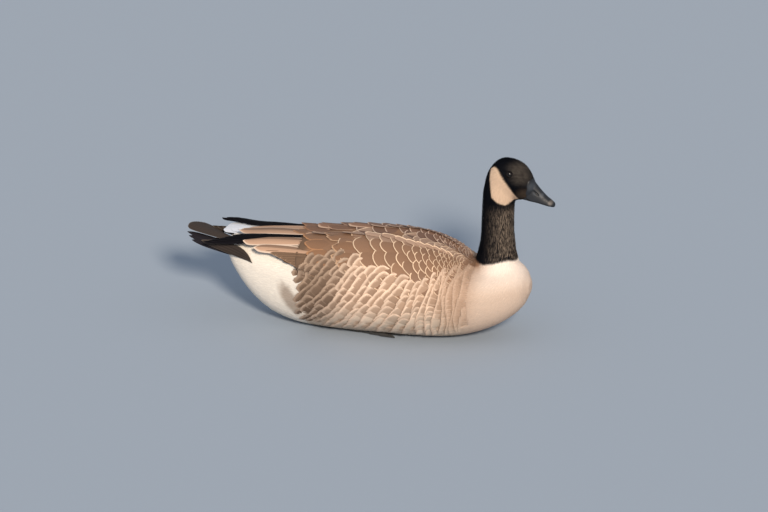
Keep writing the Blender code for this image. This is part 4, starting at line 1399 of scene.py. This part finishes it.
def make_tail(surface, material):
    steps = np.arange(TAIL_QUILLS)
    shares = (2 * steps + 1) / TAIL_QUILLS - 1
    folded = shares < -0.30
    batches = []
    folded_few = folded & (steps % 2 == 0)
    # The folded quills take the darker copy of the tail's colour: painted shade.
    for some, shape, tint, drop in ((~folded, QUILL, TAIL, -0.0022), (folded_few, LONG, TAIL_SHADED, 0.0020)):
        count = int(some.sum())
        batches.append(
            tail_batch(
                shape, shares[some], np.full(count, TAIL_QUILL_SHARE), np.full(count, 0.02),
                np.full(count, 1.0), 0.0014 - drop - 0.0040 * np.abs(shares[some]),
                tint, tint * 0.8, TAIL_RIM if drop < 0 else tint * 1.6, 0.0008, 0.0008,
            )
        )
    batches += make_outer_tail(surface)
    return new_piece("tail_quills", batches, material, 0.02, ("tail",))


def make_tail_coverts(material):
    batches = [make_uppertail()]
    over = ((0.0, 0.34, 9, 0.0030), (-0.08, 0.24, 8, 0.0052), (-0.16, 0.14, 7, 0.0075))
    under = ((0.06, 0.60, 9, -0.0085), (0.0, 0.50, 8, -0.0110), (-0.10, 0.38, 7, -0.0135))
    for rows, first, last, width, sign in ((over, -0.25, 0.92, 1.5, 1), (under, -0.50, 0.50, 0.9, -1)):
        for start, end, count, lift in rows:
            shares = np.linspace(first, last, count)
            batches.append(
                tail_batch(
                    SMALL, shares, np.full(count, width / count), np.full(count, start), np.full(count, end),
                    lift - sign * 0.001 * np.abs(shares), VENT, VENT * 0.9, VENT, 0.0015, sign * 0.0012,
                )
            )
    return new_piece("tail_coverts", batches, material, 0.02)


# Bill, eyes and feet

BILL_AHEAD = (0.0340, 0.0430, 0.0530, 0.0640, 0.0750, 0.0850, 0.0905, 0.0924, 0.0934)
BILL_CULMEN = (0.0285, 0.0200, 0.0146, 0.0096, 0.0056, 0.0034, 0.0017, 0.0001, -0.0022)
BILL_UNDER = (-0.0195, -0.0168, -0.0139, -0.0111, -0.0090, -0.0075, -0.0064, -0.0058, -0.0050)
BILL_HALF = (0.0150, 0.0138, 0.0120, 0.0108, 0.0100, 0.0088, 0.0062, 0.0038, 0.0010)
BILL_GAPE = (-0.0080, -0.0098, -0.0112, -0.0088, -0.0068, -0.0053, -0.0047, -0.0046, -0.0042)


def plain_object(name, points, faces, material, replaces=()):
    mesh = bpy.data.meshes.new(name)
    mesh.from_pydata((np.asarray(points) + SHIFT).tolist(), [], [list(face) for face in faces])
    mesh.materials.append(material)
    mesh.update()
    shape = bmesh.new()
    shape.from_mesh(mesh)
    bmesh.ops.recalc_face_normals(shape, faces=shape.faces)
    shape.to_mesh(mesh)
    shape.free()
    mesh.polygons.foreach_set("use_smooth", [True] * len(mesh.polygons))
    thing = made_object(name, mesh)
    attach(thing, "root")
    if replaces:
        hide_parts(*replaces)
    return thing


def loft_faces(rings, count):
    """Quads over closed rings of equal length, with a fan at neither end."""
    faces = []
    for i in range(rings - 1):
        for j in range(count):
            k = (j + 1) % count
            faces.append((i * count + j, i * count + k, (i + 1) * count + k, (i + 1) * count + j))
    faces.append(tuple(range(count)))
    faces.append(tuple((rings - 1) * count + j for j in range(count)))
    return faces


def bill_material():
    nodes = Nodes("bill")
    coordinates = nodes.add("ShaderNodeTexCoord").outputs["Object"]
    cloud = nodes.noise(70.0, 3.0, coordinates)
    fine = nodes.noise(420.0, 3.0, coordinates)
    tint = nodes.attribute("tint").outputs["Color"]
    shade = nodes.maths("MULTIPLY_ADD", cloud, 1.1, 0.45)
    roughness = nodes.maths("MULTIPLY_ADD", fine, 0.3, 0.36)
    nodes.surface(nodes.scaled(tint, shade), roughness, 0.36)
    nodes.bump(nodes.maths("MULTIPLY_ADD", cloud, 0.6, fine), 0.25, 0.0003)
    return nodes.material


# A bluish grey for the bill's faint own tone and for its painted highlights.
BILL_DARK = np.array((0.0080, 0.0095, 0.0130))
BILL_GREY_AND_SHEEN = np.array((0.058, 0.068, 0.084))
BILL_NAIL = np.array((0.26, 0.225, 0.20))
# The nostril's middle ahead and up, its slope, and half its length and height.
NOSTRIL = (0.0550, 0.0050)
NOSTRIL_SLOPE = math.radians(-18.0)
NOSTRIL_SIZE = (0.0076, 0.0016)
NOSTRIL_DEPTH = 0.0026
BILL_RINGS, BILL_SIDES = 92, 56
BILL_START, BILL_END = 0.0300, 0.0934


def bill_colours(ahead, height, gape, hollow):
    """A faint grey over the dark bill, grey patches beside the nostril and at the base that are painted
    highlights, a paler nail, and painted shade where the halves close.
    """
    def spot(middle, radius):
        return smooth_step(radius, 0.3 * radius, np.hypot(ahead - middle[0], height - middle[1]))

    # Grey patches at the base and beside the nostril: painted highlights.
    grey = 0.45 * spot((0.0430, 0.0115), 0.0095) + 0.55 * spot((0.0655, 0.0050), 0.0050)
    grey = np.clip(grey + 0.5 * spot((0.0535, 0.0035), 0.0045) + 0.10, 0, 1)
    colour = mixed(BILL_DARK * np.ones((len(height), 3)), BILL_GREY_AND_SHEEN, grey)
    colour = mixed(colour, BILL_NAIL, 0.45 * spot((0.0845, 0.0004), 0.0055))
    # Near black in the nostril's hollow and along the line where the halves close: painted shade.
    edge = smooth_step(0.0016, 0.0005, np.abs(height - gape))
    return mixed(colour, BILL_DARK * 0.10, np.clip(edge + 1.6 * hollow, 0, 1))


def make_bill(surface):
    """Both halves of the bill: nostril, nail, and the edge where they close."""
    material = bill_material()
    for name, arch, sign in (("bill_upper", 1.15, 1), ("bill_lower", 0.7, -1)):
        shares = np.linspace(0, 1, BILL_RINGS) ** 0.9
        points, colours = [], []
        for ahead in BILL_START + (BILL_END - BILL_START) * shares:
            culmen, under, half, gape = (
                float(smooth_between(ahead, BILL_AHEAD, values))
                for values in (BILL_CULMEN, BILL_UNDER, BILL_HALF, BILL_GAPE)
            )
            place = ahead
            if sign < 0:
                place = ahead - 0.05 * max(ahead - BILL_AHEAD[0], 0)
                half *= 0.93
            far = culmen if sign > 0 else under
            turns = np.linspace(0, math.pi, BILL_SIDES + 1)
            side = half * np.sign(np.cos(turns)) * np.abs(np.cos(turns)) ** 0.8
            height = gape + 0.00015 * sign + (far - gape) * np.abs(np.sin(turns)) ** arch
            hollow = 0 * side
            if sign > 0:
                c, s = math.cos(NOSTRIL_SLOPE), math.sin(NOSTRIL_SLOPE)
                along = (place - NOSTRIL[0]) * c + (height - NOSTRIL[1]) * s
                across = (height - NOSTRIL[1]) * c - (place - NOSTRIL[0]) * s
                pit = np.hypot(along / NOSTRIL_SIZE[0], across / NOSTRIL_SIZE[1])
                hollow = np.clip(1 - pit, 0, 1)
                side = side - np.sign(side) * NOSTRIL_DEPTH * hollow ** 0.6
            colours.append(bill_colours(place, height, gape, hollow))
            ring = head_point(np.full(len(side), place), side, height)
            if place < 0.052:
                onto, normal = surface.nearest(ring)
                over = 0.0019 * smooth_step(-0.0030, 0.0005, place - bill_edge(height)) - 0.0016
                under_it = ((ring - onto) * normal).sum(-1) < over
                under_it |= place < bill_edge(height) - 0.0005
                ring = np.where(under_it[:, None], onto + normal * over[:, None], ring)
            points.append(ring)
        thing = plain_object(
            name + "_horn", np.concatenate(points), loft_faces(BILL_RINGS, BILL_SIDES + 1),
            material, (name,),
        )
        values = np.ones((len(thing.data.vertices), 4))
        values[:, :3] = np.concatenate(colours)
        attribute = thing.data.attributes.new("tint", "FLOAT_COLOR", "POINT")
        attribute.data.foreach_set("color", values.astype(np.float32).ravel())


def eye_axes(side):
    """Outward, forward and upward axes of an eye."""
    out = unit(np.array((0.16, side * 1.0, 0.10)))
    forward = np.array((math.cos(FACE_TILT), 0, -math.sin(FACE_TILT)))
    forward = unit(forward - out * (forward @ out))
    upward = np.cross(forward, out) * -side
    if upward[2] < 0:
        upward = -upward
    return out, forward, upward


def eye_materials():
    iris = Nodes("eye_iris")
    ring = iris.attribute("ring").outputs["Fac"]
    colour = iris.mix(iris.ramp(ring, 0.40, 0.46), (0.0010, 0.0010, 0.0010, 1), (0.006, 0.0036, 0.002, 1))
    colour = iris.mix(iris.ramp(ring, 0.80, 0.95), colour, (0.003, 0.002, 0.0016, 1))
    iris.surface(colour, 0.20, 0.36)
    lid = Nodes("eye_lid")
    lid.surface((0.006, 0.0056, 0.006, 1), 0.75, 0.05)
    return iris.material, lid.material


def make_eyes(surface):
    iris, lid = eye_materials()
    for name, side in (("eye_left", 1), ("eye_right", -1)):
        centre = EYE_PLACE * np.array((1, side, 1))
        out, forward, upward = eye_axes(side)
        polar = np.linspace(0, math.pi, 25)
        turns = np.linspace(0, 2 * math.pi, 33)[:-1]
        points, rings = [], []
        for angle in polar:
            rim = (forward[None] * np.cos(turns)[:, None] + upward[None] * np.sin(turns)[:, None])
            points.append(centre + EYE_RADIUS * (math.cos(angle) * out + math.sin(angle) * rim))
            rings += [math.sin(angle) if angle < math.pi / 2 else 1.0] * len(turns)
        thing = plain_object(
            name + "_ball", np.concatenate(points), loft_faces(len(polar), len(turns)), iris, (name,)
        )
        attribute = thing.data.attributes.new("ring", "FLOAT", "POINT")
        attribute.data.foreach_set("value", np.array(rings, np.float32))
        lid_rings = []
        opening = 1.0 / np.sqrt((np.cos(turns) / 0.0054) ** 2 + (np.sin(turns) / 0.0046) ** 2)
        rim = (forward[None] * np.cos(turns)[:, None] + upward[None] * np.sin(turns)[:, None])
        for widen, height in ((-0.0002, -0.0004), (0.0, 0.0004), (0.0004, 0.0006), (0.0009, 0.0003)):
            radius = opening + widen
            depth = np.sqrt(np.maximum(EYE_RADIUS ** 2 - np.minimum(radius, EYE_RADIUS) ** 2, 0))
            lid_rings.append(centre + rim * radius[:, None] + out[None] * (depth + height)[:, None])
        outer = centre + rim * (opening + 0.0017)[:, None] + out[None] * 0.002
        place, normal = surface.nearest(outer)
        lid_rings.append(place - normal * 0.0004)
        lid_rings.append(centre + rim * (opening + 0.0020)[:, None] - out[None] * 0.004)
        lid_rings.append(centre + rim * 0.003 - out[None] * 0.002)
        faces = loft_faces(len(lid_rings), len(turns))
        plain_object(name + "_lid", np.concatenate(lid_rings), faces, lid)


def finish_feet():
    nodes = Nodes("foot_skin")
    coordinates = nodes.add("ShaderNodeTexCoord").outputs["Object"]
    cells = nodes.add("ShaderNodeTexVoronoi")
    cells.inputs["Scale"].default_value = 420.0
    nodes.link(coordinates, cells.inputs["Vector"])
    cloud = nodes.noise(60.0, 3.0, coordinates)
    shade = nodes.maths("MULTIPLY_ADD", cloud, 0.8, 0.6)
    nodes.surface(nodes.scaled((0.040, 0.038, 0.036), shade), 0.5, 0.4)
    nodes.bump(cells.outputs["Distance"], 0.5, 0.0005)
    for name in ("leg_left", "leg_right"):
        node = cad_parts[name]
        node.data.materials.clear()
        node.data.materials.append(nodes.material)


# Camera, light and floor

AZIMUTH, ELEVATION, DISTANCE = math.radians(13.7), math.radians(19.8), 16.0
TARGET = Vector((0.0228, 0.0, 0.1246))
FIELD_WIDTH = 1.3017
SENSOR = 36.0


def set_camera():
    camera = bpy.data.objects.new("camera", bpy.data.cameras.new("camera"))
    bpy.context.scene.collection.objects.link(camera)
    back = Vector((
        math.sin(AZIMUTH) * math.cos(ELEVATION),
        -math.cos(AZIMUTH) * math.cos(ELEVATION),
        math.sin(ELEVATION),
    ))
    camera.location = TARGET + back * DISTANCE
    camera.rotation_mode = "QUATERNION"
    camera.rotation_quaternion = (-back).to_track_quat("-Z", "Y")
    camera.data.sensor_width = SENSOR
    camera.data.lens = SENSOR * DISTANCE / FIELD_WIDTH
    camera.data.clip_end = 100.0
    bpy.context.scene.camera = camera


def set_light():
    scene = bpy.context.scene
    scene.view_settings.view_transform = "Standard"
    sun = bpy.data.objects.new("sun", bpy.data.lights.new("sun", "SUN"))
    scene.collection.objects.link(sun)
    turn, height = math.radians(24.0), math.radians(28.0)
    way = Vector((
        math.sin(turn) * math.cos(height),
        -math.cos(turn) * math.cos(height),
        math.sin(height),
    ))
    sun.rotation_mode = "QUATERNION"
    sun.rotation_quaternion = way.to_track_quat("Z", "Y")
    sun.data.energy = 3.7
    sun.data.color = (1.0, 0.87, 0.72)
    sun.data.angle = math.radians(9.0)
    world = bpy.data.worlds.new("sky")
    world.use_nodes = True
    background = world.node_tree.nodes["Background"]
    background.inputs["Color"].default_value = (0.80, 0.88, 1.0, 1.0)
    background.inputs["Strength"].default_value = 0.48
    scene.world = world


def set_floor():
    size = 6.0
    mesh = bpy.data.meshes.new("floor")
    corners = ((-size, -size), (size, -size), (size, size), (-size, size))
    mesh.from_pydata([(x, y, 0.0) for x, y in corners], [], [(0, 1, 2, 3)])
    nodes = Nodes("floor_paint")
    nodes.surface((0.36, 0.42, 0.50, 1), 0.8, 0.2)
    mesh.materials.append(nodes.material)
    made_object("floor", mesh)


def main():
    set_camera()
    set_light()
    set_floor()
    mesh = fused_nodes(
        ("trunk", "neck", "head", "eye_left", "eye_right", "wing_left", "wing_right"), VOXEL, SMOOTHING
    )
    surface = Surface(mesh)
    make_skin(mesh, surface)
    crisp = feather_material("feather_crisp", 0.62, 0.30, barb_depth=0.05)
    soft = feather_material("feather_soft", 0.85, 0.80, barb_pitch=0.0008, barb_depth=0.035, ragged=0.35)
    dark = feather_material("feather_dark", 0.70, 0.60, barb_depth=0.03, specular=0.06)
    quill = feather_material(
        "feather_quill", 0.65, 0.40, barb_pitch=0.0010, barb_depth=0.05, shaft=0.30, specular=0.07
    )
    satin = feather_material("feather_satin", 0.80, 0.80, barb_depth=0.03)
    rows = {"primary": [], "tertial": [], "filler": []}
    for kind, *row in LONG_FEATHERS:
        rows[kind].append(tuple(row))
    for side, label in ((1, "left"), (-1, "right")):
        scapulars = [make_scapulars(surface, side), make_ridge(surface, side)] + make_coverts(side)
        new_piece("scapulars_" + label, scapulars, crisp, 0.012)
        flank, barbs = make_flanks(surface, side)
        new_piece("flank_" + label, [flank], soft, 0.014)
        new_piece("flank_barbs_" + label, [barbs], soft, 0.003)
        lift = FAR_LIFT if side > 0 else NEAR_LIFT
        flare = FAR_FLARE if side > 0 else 0.0
        flight = [
            wing_batch(
                LONG, rows["primary"], side, PRIMARY, PRIMARY, PRIMARY * 3, 0.0008, 0.005,
                lift=lift["primary"], flare=flare,
            ),
            wing_batch(CONTOUR, rows["filler"], side, SECONDARY, SECONDARY, SECONDARY, 0.0007),
            wing_batch(
                LONG, secondary_rows(), side, SECONDARY, SECONDARY * 0.7, SECONDARY * 2.2, 0.0006, 0.0038,
            ),
            wing_batch(
                LONG, rows["tertial"], side, TERTIAL, TERTIAL * 0.7, TERTIAL_RIM, 0.0024, 0.0042,
                lift=lift["tertial"], two_tone=0.42,
            ),
        ]
        new_piece("flight_" + label, flight, quill, 0.03, ("wing_" + label,))
    for label, batch in zip(("fore", "hind"), make_body_tufts(surface)):
        new_piece("body_tufts_" + label, [batch], satin, 0.003)
    neck = make_small_plumage(surface, lambda p: np.full(len(p), 0.00118), neck_zone, 120000)
    new_piece("neck_feathers", [neck], dark, 0.004)

    def head_spacing(places):
        ahead, _ = head_axis(places)
        return 0.0012 - 0.0005 * smooth_step(0.000, 0.030, ahead)

    head = make_small_plumage(surface, head_spacing, head_zone, 120000)
    new_piece("head_feathers", [head], dark, 0.004)
    make_tail(surface, quill)
    make_tail_coverts(satin)
    make_bill(surface)
    make_eyes(surface)
    finish_feet()


main()
